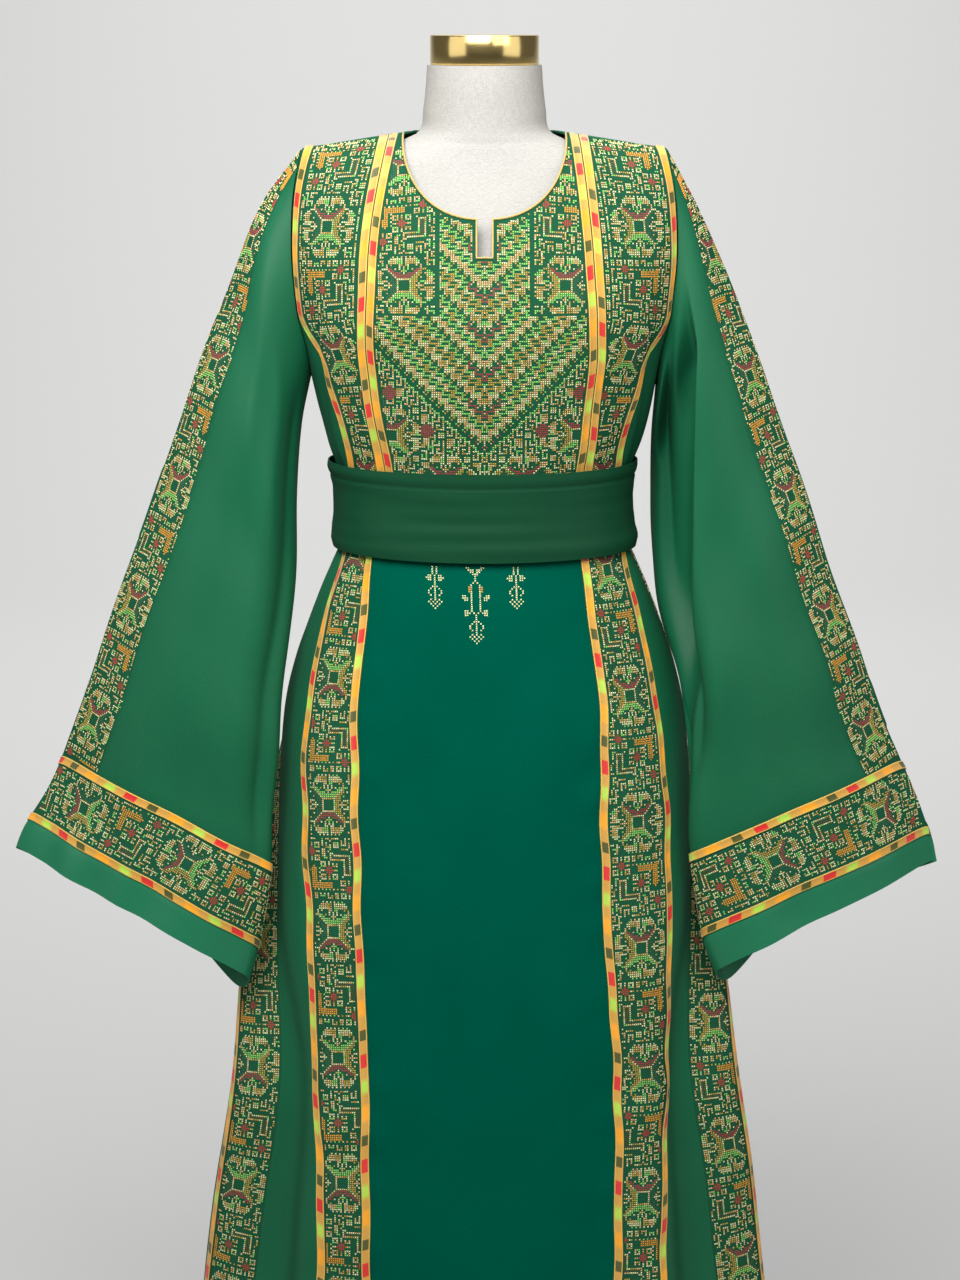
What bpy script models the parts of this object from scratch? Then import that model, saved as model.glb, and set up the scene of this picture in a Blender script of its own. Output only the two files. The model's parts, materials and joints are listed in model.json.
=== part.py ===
"""A Palestinian thobe, belted, on a limbless dress form.

Metres, +Z up, the front faces -Y and the wearer's left is +X. The origin is the centre of the stand's
base, on the floor. Every piece of cloth is a thin wall between its outer face and the same face moved
in by the cloth's thickness, cut from three smooth surfaces: the bodice, the skirt and each sleeve.
"""

import math

import bmesh
import bpy
from mathutils import Vector

# ------------------------------------------------------------------ driving dimensions
CLOTH = 0.0016  # thickness of each layer of cloth
SEAM_GAP = 0.0003  # space between two pieces that are sewn together
TRIM_LIFT = 0.0004  # space between a ribbon and the panel under it
TRIM_THICK = 0.0012
RIBBON = 0.0095  # width of the woven ribbon
ARMHOLE_SHOWS = 0.0025  # cloth that shows between the armhole's ribbon and the sleeve
BAND = 0.060  # width of an embroidered band

WAIST_Z = 1.095  # seam between bodice and skirt
SHOULDER_Z = 1.4375  # tip of the shoulder
HEM_Z = 0.020
ARMPIT_LEVEL = 0.371  # part of the way from waist to shoulder
NECK_RISE = 0.026  # how much higher the shoulder line would be at the neck's middle
BACK_RISE = 0.13  # lift of the back towards the nape, for each metre of depth

NECK_HALF = 0.0775  # half width of the neckline at the shoulder
NECK_DROP = 0.0745  # depth of the front neckline
SLIT_HALF = 0.0075
SLIT_LEVEL = 0.700  # level of the slit's lower end
NAPE_LEVEL = 0.945  # level of the neckline at centre back
PIPING_RADIUS, PIPING_SIDES = 0.0011, 6
BELT_BOTTOM, BELT_TOP = 1.055, 1.140
BELT_THICK = 0.0018
BELT_FOLD = 0.0012  # groove under the belt's turned top edge

NECK_TOP_Z, NECK_RADIUS = 1.517, 0.0545
CAP_TOP_Z, CAP_RADIUS = 1.545, 0.0517
FORM_BOTTOM_Z = 0.840
POLE_RADIUS = 0.014
BASE_RADIUS, BASE_THICK = 0.165, 0.014

SIDES = (("right", -1), ("left", 1))  # the wearer's right is -X

# ------------------------------------------------------------------ tables
# Bodice sections: level is 0 at the waist and 1 at the shoulder line.
BODICE_COLUMNS = ("level", "half_width", "front_depth", "back_depth")
BODICE_ROWS = (
    (0.000, 0.1370, 0.0965, 0.0870),
    (0.092, 0.1405, 0.0985, 0.0875),
    (0.184, 0.1515, 0.1050, 0.0895),
    (0.276, 0.1605, 0.1140, 0.0925),
    (0.371, 0.1675, 0.1215, 0.0960),
    (0.460, 0.1760, 0.1270, 0.1000),
    (0.553, 0.1870, 0.1285, 0.1025),
    (0.642, 0.1930, 0.1225, 0.1030),
    (0.729, 0.1955, 0.1120, 0.1015),
    (0.818, 0.1955, 0.0970, 0.0970),
    (0.892, 0.1935, 0.0790, 0.0870),
    (0.952, 0.1900, 0.0560, 0.0660),
    (0.988, 0.1875, 0.0290, 0.0360),
    (1.000, 0.1864, 0.0000, 0.0000),
)
# Seam lines on the front of the bodice, as distances from the centre.
BODICE_SEAM_COLUMNS = ("level", "yoke_right", "yoke_left", "side")
BODICE_SEAM_ROWS = (
    (0.000, 0.0915, 0.0905, 0.1280),
    (0.110, 0.0935, 0.0935, 0.1305),
    (0.240, 0.1010, 0.0985, 0.1385),
    (0.370, 0.1080, 0.1030, 0.1510),
    (0.480, 0.1110, 0.1055, 0.1560),
    (0.700, 0.1085, 0.1015, 0.1700),
    (0.820, 0.1040, 0.0975, 0.1740),
    (1.000, 0.0912, 0.0895, 0.1740),
)
# Skirt sections.
SKIRT_COLUMNS = ("height", "half_width", "front_depth", "back_depth")
SKIRT_ROWS = (
    (0.020, 0.3000, 0.2300, 0.2370),
    (0.100, 0.2930, 0.2220, 0.2280),
    (0.200, 0.2830, 0.2110, 0.2170),
    (0.300, 0.2720, 0.2000, 0.2060),
    (0.400, 0.2600, 0.1880, 0.1940),
    (0.500, 0.2480, 0.1760, 0.1820),
    (0.600, 0.2350, 0.1640, 0.1700),
    (0.680, 0.2240, 0.1550, 0.1600),
    (0.760, 0.2140, 0.1460, 0.1500),
    (0.840, 0.2050, 0.1370, 0.1400),
    (0.900, 0.1970, 0.1300, 0.1310),
    (0.944, 0.1860, 0.1230, 0.1220),
    (0.980, 0.1735, 0.1165, 0.1130),
    (1.015, 0.1600, 0.1095, 0.1040),
    (1.040, 0.1490, 0.1035, 0.0960),
    (1.060, 0.1408, 0.0990, 0.0910),
    (1.095, 0.1370, 0.0965, 0.0870),
)
SKIRT_EDGE_DEPTH = 0.76  # how far forward the front band's outer seam stands, as a share of centre front
SKIRT_ROUNDING = 2.5  # the hem's sections: 2 is an ellipse, as at the waist, and more is squarer
# Seams of the front bands, as distances from the centre, and the turn of the side bands' outer seams.
SKIRT_SEAM_COLUMNS = (
    "height", "inner_right", "outer_right", "inner_left", "outer_left", "side_right", "side_left",
)
SKIRT_SEAM_ROWS = (
    (0.020, 0.1100, 0.1700, 0.1240, 0.1780, 72.0, 73.0),
    (0.400, 0.1098, 0.1640, 0.1245, 0.1790, 73.0, 74.0),
    (0.550, 0.1115, 0.1665, 0.1240, 0.1795, 74.0, 75.0),
    (0.700, 0.1160, 0.1735, 0.1140, 0.1825, 80.0, 80.0),
    (0.840, 0.1206, 0.1765, 0.1100, 0.1768, 92.0, 88.0),
    (0.920, 0.1195, 0.1715, 0.1085, 0.1675, 99.0, 94.0),
    (1.000, 0.1110, 0.1540, 0.0980, 0.1500, 107.0, 101.0),
    (1.050, 0.1075, 0.1380, 0.0920, 0.1370, 112.0, 106.0),
    (1.095, 0.1040, 0.1290, 0.0905, 0.1260, 115.0, 109.0),
)
# Folds that run down the skirt: turn from centre front, how far they stand out at the hem, half width,
# and the height under which they begin. A fold beside the side band follows its seam.
SKIRT_FOLD_COLUMNS = ("name", "turn", "depth", "spread", "starts")
SKIRT_FOLDS = (
    ("front_edge", -1.0, 0.007, 8.0, 1.00),
    ("gore_valley", -14.0, -0.027, 8.0, 0.98),
    ("side_ridge", -1.0, 0.026, 8.5, 1.00),
    ("side_back_valley", 26.0, -0.020, 10.0, 0.95),
    ("back_ridge", 48.0, 0.018, 10.0, 0.95),
    ("back_valley", 70.0, -0.020, 10.0, 0.90),
    ("centre_back_ridge", 107.0, 0.012, 14.0, 0.90),
)
SKIRT_HEIGHTS = (
    1.095, 1.060, 1.025, 0.985, 0.940, 0.890, 0.820, 0.740, 0.650, 0.550, 0.440, 0.320, 0.180, 0.020,
)
# Sleeve sections: station 0 is the armhole, 1 the top of the cuff. The ridge is the sleeve's outer fold.
SLEEVE_COLUMNS = (
    "station", "ridge_x", "ridge_y", "ridge_z", "under_x", "under_y", "under_z", "front", "back",
)
SLEEVE_ROWS = {
    "right": (
        (0.00, 0.1740, 0.000, 1.4375, 0.1690, 0.000, 1.2220, 0.046, 0.046),
        (0.10, 0.2147, -0.003, 1.3835, 0.1779, -0.004, 1.1760, 0.050, 0.049),
        (0.25, 0.2511, -0.006, 1.2980, 0.1827, -0.012, 1.1055, 0.052, 0.048),
        (0.45, 0.2957, -0.010, 1.1798, 0.1843, -0.036, 1.0125, 0.050, 0.042),
        (0.70, 0.3510, -0.015, 1.0290, 0.1985, -0.070, 0.8984, 0.046, 0.035),
        (1.00, 0.4183, -0.020, 0.8441, 0.2067, -0.092, 0.7562, 0.040, 0.030),
        (1.12, 0.4508, -0.022, 0.7780, 0.2203, -0.097, 0.6723, 0.038, 0.029),
        (1.18, 0.4607, -0.022, 0.7480, 0.2283, -0.100, 0.6420, 0.038, 0.030),
    ),
    "left": (
        (0.00, 0.1740, 0.000, 1.4375, 0.1675, 0.000, 1.2220, 0.046, 0.046),
        (0.10, 0.2067, -0.003, 1.3780, 0.1635, -0.004, 1.1680, 0.050, 0.049),
        (0.25, 0.2447, -0.006, 1.2931, 0.1651, -0.012, 1.0960, 0.052, 0.048),
        (0.45, 0.2895, -0.010, 1.1747, 0.1685, -0.036, 1.0046, 0.050, 0.042),
        (0.70, 0.3428, -0.015, 1.0231, 0.1955, -0.070, 0.9005, 0.046, 0.035),
        (1.00, 0.4135, -0.020, 0.8390, 0.1995, -0.092, 0.7663, 0.040, 0.030),
        (1.12, 0.4443, -0.022, 0.7646, 0.2133, -0.097, 0.6836, 0.038, 0.029),
        (1.18, 0.4520, -0.022, 0.7387, 0.2263, -0.100, 0.6498, 0.038, 0.030),
    ),
}
# Folds of the sleeves: turn round the sleeve at its first and last station, and how far they stand out.
SLEEVE_FOLD_COLUMNS = ("first_turn", "last_turn", "depth", "spread", "first", "last")
SLEEVE_FOLDS = {
    "right": (
        (118.0, 128.0, 0.0040, 13.0, 0.05, 1.30),
        (146.0, 154.0, -0.0080, 11.0, 0.02, 1.10),
        (92.0, 98.0, -0.0035, 14.0, 0.30, 1.30),
        (222.0, 226.0, -0.0060, 13.0, 0.05, 1.30),
        (262.0, 268.0, 0.0045, 16.0, 0.20, 1.30),
        (306.0, 304.0, -0.0045, 13.0, 0.25, 1.30),
    ),
    "left": (
        (98.0, 136.0, 0.0060, 13.0, 0.02, 0.95),
        (122.0, 164.0, -0.0170, 11.0, 0.00, 0.90),
        (88.0, 96.0, -0.0030, 14.0, 0.40, 1.30),
        (216.0, 230.0, -0.0060, 13.0, 0.05, 1.30),
        (262.0, 262.0, 0.0045, 16.0, 0.20, 1.30),
        (306.0, 300.0, -0.0045, 13.0, 0.25, 1.30),
    ),
}
SLEEVE_BAND_COLUMNS = ("station", "in_front")  # how much of the band's width shows from the front
SLEEVE_BAND_ROWS = ((0.00, 0.036), (0.10, 0.034), (0.20, 0.044), (0.32, 0.053), (1.00, 0.056))
SLEEVE_STATIONS = (0.0, 0.035, 0.08, 0.15, 0.25, 0.37, 0.50, 0.66, 0.83, 1.0)
CUFF_STATIONS = (1.0, 1.0155, 1.06, 1.1045, 1.12)
HEM_STATIONS = (1.12, 1.15, 1.18)
# Turns round the armhole: down the front, under the arm and up the back.
FRONT_ARMHOLE_TURNS = (0.0, 16.0, 32.0, 49.0, 65.0, 82.0, 98.0, 115.0)
UNDER_ARM_TURNS = (115.0, 132.0, 150.0, 166.0, 180.0)
BACK_ARMHOLE_TURNS = (180.0, 206.0, 232.0, 257.0, 282.0, 308.0, 334.0, 360.0)
ARMHOLE_SET_IN = 21.0  # how far the armhole's edges stand from the side line, in degrees
JOINED_UNTIL = 0.22  # station where the sleeve no longer follows the armhole's shape
SLEEVE_FRONT_LIFT = 0.012  # how much the front layer is drawn up at the cuff
SLEEVE_BACK_DIP = 0.020  # how far the back layer's inner corner hangs under the front
LOWER_ROWS = 6  # rows of the bodice under the level where the side panel ends
# The belt: how far it stands from the centre at the wearer's right and left, and at the front and back.
BELT_COLUMNS = ("height", "right", "left", "front", "back")
BELT_ROWS = (
    (1.0550, 0.1485, 0.1488, 0.1075, 0.0995),
    (1.0640, 0.1502, 0.1502, 0.1083, 0.0998),
    (1.0850, 0.1485, 0.1470, 0.1075, 0.0982),
    (1.1080, 0.1480, 0.1455, 0.1072, 0.0975),
    (1.1280, 0.1515, 0.1478, 0.1088, 0.0982),
    (1.1345, 0.1530, 0.1490, 0.1096, 0.0988),
    (1.1400, 0.1525, 0.1495, 0.1100, 0.0990),
)
BELT_FOLD_HEIGHT = 1.1345
# Dress form sections, from the hips to the neck.
FORM_COLUMNS = ("height", "half_width", "front_depth", "back_depth")
FORM_ROWS = (
    (0.840, 0.172, 0.108, 0.110),
    (0.900, 0.178, 0.112, 0.113),
    (0.980, 0.158, 0.102, 0.098),
    (1.040, 0.134, 0.090, 0.082),
    (1.100, 0.126, 0.086, 0.077),
    (1.160, 0.138, 0.094, 0.080),
    (1.230, 0.152, 0.112, 0.086),
    (1.290, 0.166, 0.116, 0.092),
    (1.345, 0.172, 0.100, 0.091),
    (1.385, 0.168, 0.083, 0.084),
    (1.410, 0.156, 0.071, 0.076),
    (1.427, 0.134, 0.064, 0.068),
    (1.438, 0.104, 0.0605, 0.0635),
    (1.447, 0.0770, 0.0585, 0.0605),
    (1.456, 0.0620, 0.0570, 0.0585),
    (1.475, 0.0585, 0.0560, 0.0570),
)
FORM_SEGMENTS = 28

COLOURS = {
    "satin": ((0.022, 0.150, 0.075), 0.42, 0.0),
    "matte_green": ((0.000, 0.130, 0.085), 0.75, 0.0),
    "embroidery": ((0.230, 0.330, 0.130), 0.80, 0.0),
    "ribbon": ((0.800, 0.470, 0.120), 0.50, 0.0),
    "form_cloth": ((0.780, 0.760, 0.730), 0.85, 0.0),
    "gold": ((0.830, 0.640, 0.260), 0.18, 1.0),
    "steel": ((0.550, 0.550, 0.560), 0.30, 1.0),
    "base_metal": ((0.700, 0.690, 0.680), 0.35, 0.0),
}


# ------------------------------------------------------------------ reading the tables
def smooth_between(low, high, at):
    """0 below low, 1 above high, and an eased step between."""
    part = min(max((at - low) / (high - low), 0.0), 1.0)
    return part * part * (3 - 2 * part)


def read(columns, rows, name, at):
    """The named column at a place along the table's first column, on a smooth curve through its rows."""
    column = columns.index(name)
    points = [(row[0], row[column]) for row in rows]
    if at <= points[0][0]:
        return points[0][1]
    if at >= points[-1][0]:
        return points[-1][1]
    k = max(i for i in range(len(points) - 1) if points[i][0] <= at)

    def slope(i):
        low, high = max(i - 1, 0), min(i + 1, len(points) - 1)
        return (points[high][1] - points[low][1]) / (points[high][0] - points[low][0])

    width = points[k + 1][0] - points[k][0]
    t = (at - points[k][0]) / width
    return (
        (2 * t**3 - 3 * t**2 + 1) * points[k][1]
        + (t**3 - 2 * t**2 + t) * width * slope(k)
        + (3 * t**2 - 2 * t**3) * points[k + 1][1]
        + (t**3 - t**2) * width * slope(k + 1)
    )


def hill(distance, spread):
    """1 at the middle of a fold, falling smoothly to nothing at about twice its spread."""
    return math.exp(-((distance / spread) ** 2))


# ------------------------------------------------------------------ the three surfaces
def bodice_point(turn, level):
    """Outer face of the bodice: turn in degrees from centre front, to the wearer's left."""
    angle = math.radians(turn)
    depth = "front_depth" if abs(turn) <= 90 else "back_depth"
    x = read(BODICE_COLUMNS, BODICE_ROWS, "half_width", level) * math.sin(angle)
    y = -read(BODICE_COLUMNS, BODICE_ROWS, depth, level) * math.cos(angle)
    tip = BODICE_ROWS[-1][1]
    lift = smooth_between(0.5, 1.0, level) * (NECK_RISE * (1 - abs(x) / tip) + BACK_RISE * max(y, 0))
    return Vector((x, y, WAIST_Z + level * (SHOULDER_Z - WAIST_Z) + lift))


def bodice_turn(x, level):
    """Turn on the front of the bodice at a distance from its centre."""
    half = read(BODICE_COLUMNS, BODICE_ROWS, "half_width", level)
    return math.degrees(math.asin(max(-1.0, min(1.0, x / half))))


def armhole(turn):
    """(turn, level) on the bodice of a point round the armhole: 0 is the shoulder's tip, 180 the armpit."""
    down = (1 - math.cos(math.radians(turn))) / 2
    edge = ARMHOLE_SET_IN * math.sqrt(max(0.0, 1 - down**4))
    level = 1 - (1 - ARMPIT_LEVEL) * down
    return (90 - edge if turn <= 180 else 90 + edge), level


def skirt_fold(turn, height):
    """How far the skirt stands out of its plain section."""
    side = "left" if turn >= 0 else "right"
    seam = read(SKIRT_SEAM_COLUMNS, SKIRT_SEAM_ROWS, "side_" + side, height)
    total = 0.0
    for name, offset, depth, spread, starts in SKIRT_FOLDS:
        if name == "front_edge":
            edge_x = read(SKIRT_SEAM_COLUMNS, SKIRT_SEAM_ROWS, "outer_" + side, height)
            middle = math.degrees(math.atan2(edge_x, SKIRT_EDGE_DEPTH * skirt_front(height))) + offset
        else:
            middle = seam + offset
        total += depth * (1 - smooth_between(0.30, starts, height)) * hill(abs(turn) - middle, spread)
    return total


def skirt_front(height):
    return read(SKIRT_COLUMNS, SKIRT_ROWS, "front_depth", height)


def skirt_point(turn, height):
    """Outer face of the skirt: turn in degrees from centre front, to the wearer's left."""
    angle = math.radians(turn)
    depth = "front_depth" if abs(turn) <= 90 else "back_depth"
    wide = abs(math.sin(angle)) / read(SKIRT_COLUMNS, SKIRT_ROWS, "half_width", height)
    deep = abs(math.cos(angle)) / read(SKIRT_COLUMNS, SKIRT_ROWS, depth, height)
    rounding = SKIRT_ROUNDING + (2 - SKIRT_ROUNDING) * smooth_between(0.80, 1.03, height)
    reach = (wide**rounding + deep**rounding) ** (-1 / rounding)
    reach += skirt_fold(turn, height)
    return Vector((reach * math.sin(angle), -reach * math.cos(angle), height))


def skirt_turn(x, height):
    """Turn on the front of the skirt at a distance from its centre, to the wearer's left."""
    low, high = 0.0, 88.0
    for _ in range(30):
        middle = (low + high) / 2
        if skirt_point(middle, height).x < x:
            low = middle
        else:
            high = middle
    return low


def turn_before(turn, sign, height, distance):
    """The turn that lies a distance along the skirt's face before another, towards the front."""
    step, walked, at = 0.5, 0.0, turn
    while walked < distance:
        walked += (skirt_point(sign * (at - step), height) - skirt_point(sign * at, height)).length
        at -= step
    return at


def sleeve_point(side, turn, station, plain=False):
    """Outer face of a sleeve: turn 0 is its outer fold, 90 its front, 180 the underarm, 270 its back.

    Near its top it is moved so that it starts on the armhole, unless plain is asked for.
    """
    sign = dict(SIDES)[side]

    def value(name):
        return read(SLEEVE_COLUMNS, SLEEVE_ROWS[side], name, station)

    ridge = Vector((sign * value("ridge_x"), value("ridge_y"), value("ridge_z")))
    under = Vector((sign * value("under_x"), value("under_y"), value("under_z")))
    angle = math.radians(turn)
    along, across = (ridge - under) / 2, Vector((0, -1, 0))
    depth = value("front") if turn <= 180 else value("back")
    out = (along.normalized() * math.cos(angle) + across * math.sin(angle)).normalized()
    fold = 0.0
    for first_turn, last_turn, size, spread, first, last in SLEEVE_FOLDS[side]:
        part = min(max((station - first) / (last - first), 0.0), 1.0)
        middle = first_turn + (last_turn - first_turn) * part
        grown = smooth_between(first, first + 0.15, station)
        fading = 1 - smooth_between(last - 0.25, last, station)
        fold += size * grown * fading * hill(turn - middle, spread)
    point = (ridge + under) / 2 + along * math.cos(angle) + across * depth * math.sin(angle) + out * fold
    point.z += SLEEVE_FRONT_LIFT * smooth_between(0.3, 1.0, station) * max(math.sin(angle), 0)
    point.z -= SLEEVE_BACK_DIP * smooth_between(0.9, 1.18, station) * hill(turn - 207, 20)
    joined = 1 - smooth_between(0.0, JOINED_UNTIL, station)
    if joined > 0 and not plain:
        at_turn, level = armhole(turn)
        edge = bodice_point(sign * at_turn, level)
        point += (edge - sleeve_point(side, turn, 0.0, plain=True)) * joined
    return point


def face_normal(surface, u, v):
    """Outward normal of a surface of (u, v), both measured in its own units."""
    small_u, small_v = 0.4, 0.0008
    across = surface(u + small_u, v) - surface(u - small_u, v)
    along = surface(u, v + small_v) - surface(u, v - small_v)
    return across.cross(along).normalized()


def bodice_normal(turn, level):
    """Outward normal of the bodice, straight up along the shoulder line."""
    if level > 0.9999:
        return Vector((0, 0, 1))
    return face_normal(bodice_point, turn, level)


def skirt_normal(turn, height):
    return face_normal(skirt_point, turn, height)


# ------------------------------------------------------------------ building a wall of cloth
def wall_points(point, normal, grid, lift=0.0, thick=CLOTH):
    """Outer and inner points of a wall over a grid of (u, v) places, lifted off the surface."""
    outer, inner = [], []
    for row in grid:
        faces = [(point(u, v), normal(u, v)) for u, v in row]
        outer.append([p + n * lift for p, n in faces])
        inner.append([p + n * (lift - thick) for p, n in faces])
    return outer, inner


def drawn_in(rows, closed=False, sides=True):
    """Moves a grid's outermost points in by half the seam's gap."""
    half = SEAM_GAP / 2
    new = [[p.copy() for p in row] for row in rows]
    last, across = len(rows) - 1, len(rows[0]) - 1
    for c in range(across + 1):
        new[0][c] += (rows[1][c] - rows[0][c]).normalized() * half
        new[last][c] += (rows[last - 1][c] - rows[last][c]).normalized() * half
    if sides and not closed:
        for r in range(last + 1):
            new[r][0] += (rows[r][1] - rows[r][0]).normalized() * half
            new[r][across] += (rows[r][across - 1] - rows[r][across]).normalized() * half
    return new


def make_object(name, bm, material):
    """Finishes a bmesh as an object of the garment's collection."""
    bmesh.ops.recalc_face_normals(bm, faces=bm.faces)
    if bm.calc_volume(signed=True) < 0:
        bmesh.ops.reverse_faces(bm, faces=bm.faces)
    mesh = bpy.data.meshes.new(name)
    bm.to_mesh(mesh)
    bm.free()
    mesh.shade_smooth()
    mesh.set_sharp_from_angle(angle=math.radians(35))
    mesh.materials.append(piece_material(name, material))
    piece = bpy.data.objects.new(name, mesh)
    garment.objects.link(piece)
    return piece


def piece_material(name, finish):
    """A material of the piece's own, in one of the garment's finishes."""
    colour, roughness, metallic = COLOURS[finish]
    material = bpy.data.materials.new(name)
    material.use_nodes = True
    shader = material.node_tree.nodes["Principled BSDF"]
    shader.inputs["Base Color"].default_value = (*colour, 1)
    shader.inputs["Roughness"].default_value = roughness
    shader.inputs["Metallic"].default_value = metallic
    return material


def rim_order(vertex):
    """A rank by place, so that the edges of two sewn pieces are divided alike."""
    return vertex.co.dot((7.0, 3.0, 1.0))


def cloth_wall(name, outer, inner, material, closed=False, left_out=(), mirrored=0):
    """A closed wall between two grids of points, each cell made of a lower and an upper triangle.

    Cells, or single triangles, named in left_out are open right through. The columns before
    mirrored are divided on the other diagonal.
    """
    bm = bmesh.new()
    across = len(outer[0])
    face_out = [[bm.verts.new(p) for p in row] for row in outer]
    face_in = [[bm.verts.new(p) for p in row] for row in inner]
    rims = {}
    for r in range(len(outer) - 1):
        for c in range(across if closed else across - 1):
            a, b, c2, d = (r, c), (r, (c + 1) % across), (r + 1, (c + 1) % across), (r + 1, c)
            halves = {"lower": (a, b, c2), "upper": (a, c2, d)}
            if c < mirrored:
                halves = {"lower": (a, b, d), "upper": (b, c2, d)}
            for half, corners in halves.items():
                if (r, c) in left_out or (r, c, half) in left_out:
                    continue
                bm.faces.new([face_out[i][j] for i, j in corners])
                bm.faces.new([face_in[i][j] for i, j in reversed(corners)])
                for start, end in zip(corners, corners[1:] + corners[:1]):
                    if (end, start) in rims:
                        del rims[(end, start)]
                    else:
                        rims[(start, end)] = True
    for (i, j), (k, m) in rims:
        rim = [face_out[k][m], face_out[i][j], face_in[i][j], face_in[k][m]]
        if rim_order(rim[1]) < rim_order(rim[0]):
            rim = rim[1:] + rim[:1]
        bm.faces.new(rim[:3])
        bm.faces.new((rim[0], rim[2], rim[3]))
    loose = [v for v in bm.verts if not v.link_faces]
    bmesh.ops.delete(bm, geom=loose, context="VERTS")
    return make_object(name, bm, material)


def cells_between(left, right, shares):
    """Places between two lists of (u, v), at shares of the way across that may change with each row."""
    grid = []
    for row, (a, b) in enumerate(zip(left, right)):
        across = shares(row) if callable(shares) else shares
        grid.append([(a[0] + (b[0] - a[0]) * s, a[1] + (b[1] - a[1]) * s) for s in across])
    return grid


def ribbon_over(name, outer_points, inner_points, columns, insets=(SEAM_GAP, SEAM_GAP), mirrored=0):
    """A ribbon over one strip of a panel's own points, moved out: columns are the strip's two edges."""
    lifted, laid = [], []
    for outer_row, inner_row in zip(outer_points, inner_points):
        first, last = (outer_row[c] for c in columns)
        across = (last - first).normalized()
        ends = (first + across * insets[0], last - across * insets[1])
        out = [(outer_row[c] - inner_row[c]).normalized() for c in columns]
        laid.append([p + n * TRIM_LIFT for p, n in zip(ends, out)])
        lifted.append([p + n * (TRIM_LIFT + TRIM_THICK) for p, n in zip(ends, out)])
    return cloth_wall(name, lifted, laid, "ribbon", mirrored=mirrored)


def panel(name, surface, grid, material, left_out=(), mirrored=0):
    """A sewn panel of a surface, and its outer and inner points for what lies on it."""
    outer, inner = wall_points(*surface, grid)
    outer, inner = drawn_in(outer), drawn_in(inner)
    cloth_wall(name, outer, inner, material, left_out=left_out, mirrored=mirrored)
    return outer, inner


BODICE = (bodice_point, bodice_normal)
SKIRT = (skirt_point, skirt_normal)


def spans(point, left, right):
    """Length across the surface between two places of each row."""
    return [(point(*a) - point(*b)).length for a, b in zip(left, right)]


# ------------------------------------------------------------------ bodice
UPPER_LEVELS = [armhole(turn)[1] for turn in reversed(FRONT_ARMHOLE_TURNS)]
LEVELS = [UPPER_LEVELS[0] * i / LOWER_ROWS for i in range(LOWER_ROWS)] + UPPER_LEVELS
SLIT_ROW = LOWER_ROWS + 2  # row of the yoke at the slit's lower end
NECK_ROW = SLIT_ROW + 1  # row at the neckline's lowest part


def level_at(x, z):
    """Level on the bodice's front at a distance from the centre and a height."""
    low, high = 0.4, 1.0
    for _ in range(30):
        middle = (low + high) / 2
        if bodice_point(bodice_turn(x, middle), middle).z < z:
            low = middle
        else:
            high = middle
    return low


def neckline_z(x):
    """Height of the front neckline at a distance from the centre."""
    top = bodice_point(bodice_turn(NECK_HALF, 1.0), 1.0).z
    return top - NECK_DROP * math.sin(math.acos(min(1.0, (x / NECK_HALF) ** (1 / 0.85))))


def neckline_x(level):
    """Distance from the centre of the front neckline at a level."""
    low, high = SLIT_HALF, NECK_HALF
    for _ in range(30):
        middle = (low + high) / 2
        if level_at(middle, neckline_z(middle)) < level:
            low = middle
        else:
            high = middle
    return low if level < 1 else NECK_HALF


# Columns of half of the yoke, with the distance of each from the centre below the neckline.
YOKE_COLUMNS = (SLIT_HALF, 0.0265, neckline_x(LEVELS[NECK_ROW]), 0.0640, 0.0735)


def yoke_columns(side):
    """Columns of half of the yoke, from the slit to its seam, each a list of (turn, level) up the rows."""
    sign = dict(SIDES)[side]
    columns = []
    for number, x in enumerate(YOKE_COLUMNS):
        column = []
        for row, level in enumerate(LEVELS):
            at = x
            if row == SLIT_ROW and number == 0:
                level = SLIT_LEVEL
            if row >= NECK_ROW and number < 2:
                level = level_at(x, neckline_z(x))
            if row > NECK_ROW and number > 1:
                at = neckline_x(level) if number > 3 or row == NECK_ROW + number - 2 else x
            column.append((sign * bodice_turn(at, level), level))
        columns.append(column)
    seam_x = [read(BODICE_SEAM_COLUMNS, BODICE_SEAM_ROWS, "yoke_" + side, v) for v in LEVELS]
    for inset in (RIBBON, 0.0):
        columns.append([(sign * bodice_turn(x - inset, v), v) for x, v in zip(seam_x, LEVELS)])
    return columns


def make_yoke():
    """The front's middle panel, with its neckline and slit left open, two ribbons and a fine piping."""
    columns = list(reversed(yoke_columns("right"))) + yoke_columns("left")
    grid = [[column[row] for column in columns] for row in range(len(LEVELS))]
    across, top = len(columns) - 1, len(LEVELS) - 1
    right = {number: across // 2 - number for number in range(5)}
    left = {number: across // 2 + 1 + number for number in range(5)}
    open_cells = {(SLIT_ROW, right[0])}
    for row, widest in ((NECK_ROW, 2), (NECK_ROW + 1, 3), (NECK_ROW + 2, 4), (NECK_ROW + 3, 4)):
        open_cells |= {(row, c) for c in range(right[widest], left[widest])}
        if widest < 4:
            open_cells |= {(row, right[widest] - 1, "upper"), (row, left[widest], "upper")}
    options = {"left_out": open_cells, "mirrored": right[0]}
    outer, inner = panel("front_yoke", BODICE, grid, "embroidery", **options)
    ribbon_over("trim_yoke_right", outer, inner, (0, 1), mirrored=1)
    ribbon_over("trim_yoke_left", outer, inner, (across - 1, across))
    half = [(NECK_ROW, 1), (NECK_ROW, 2), (NECK_ROW + 1, 3), (NECK_ROW + 2, 4), (NECK_ROW + 3, 4), (top, 4)]
    path = [(row, right[number]) for row, number in reversed(half)]
    path += [(NECK_ROW, right[0]), (SLIT_ROW, right[0]), (SLIT_ROW, left[0]), (NECK_ROW, left[0])]
    path += [(row, left[number]) for row, number in half]
    make_piping([(outer[r][c], inner[r][c]) for r, c in path])


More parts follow.
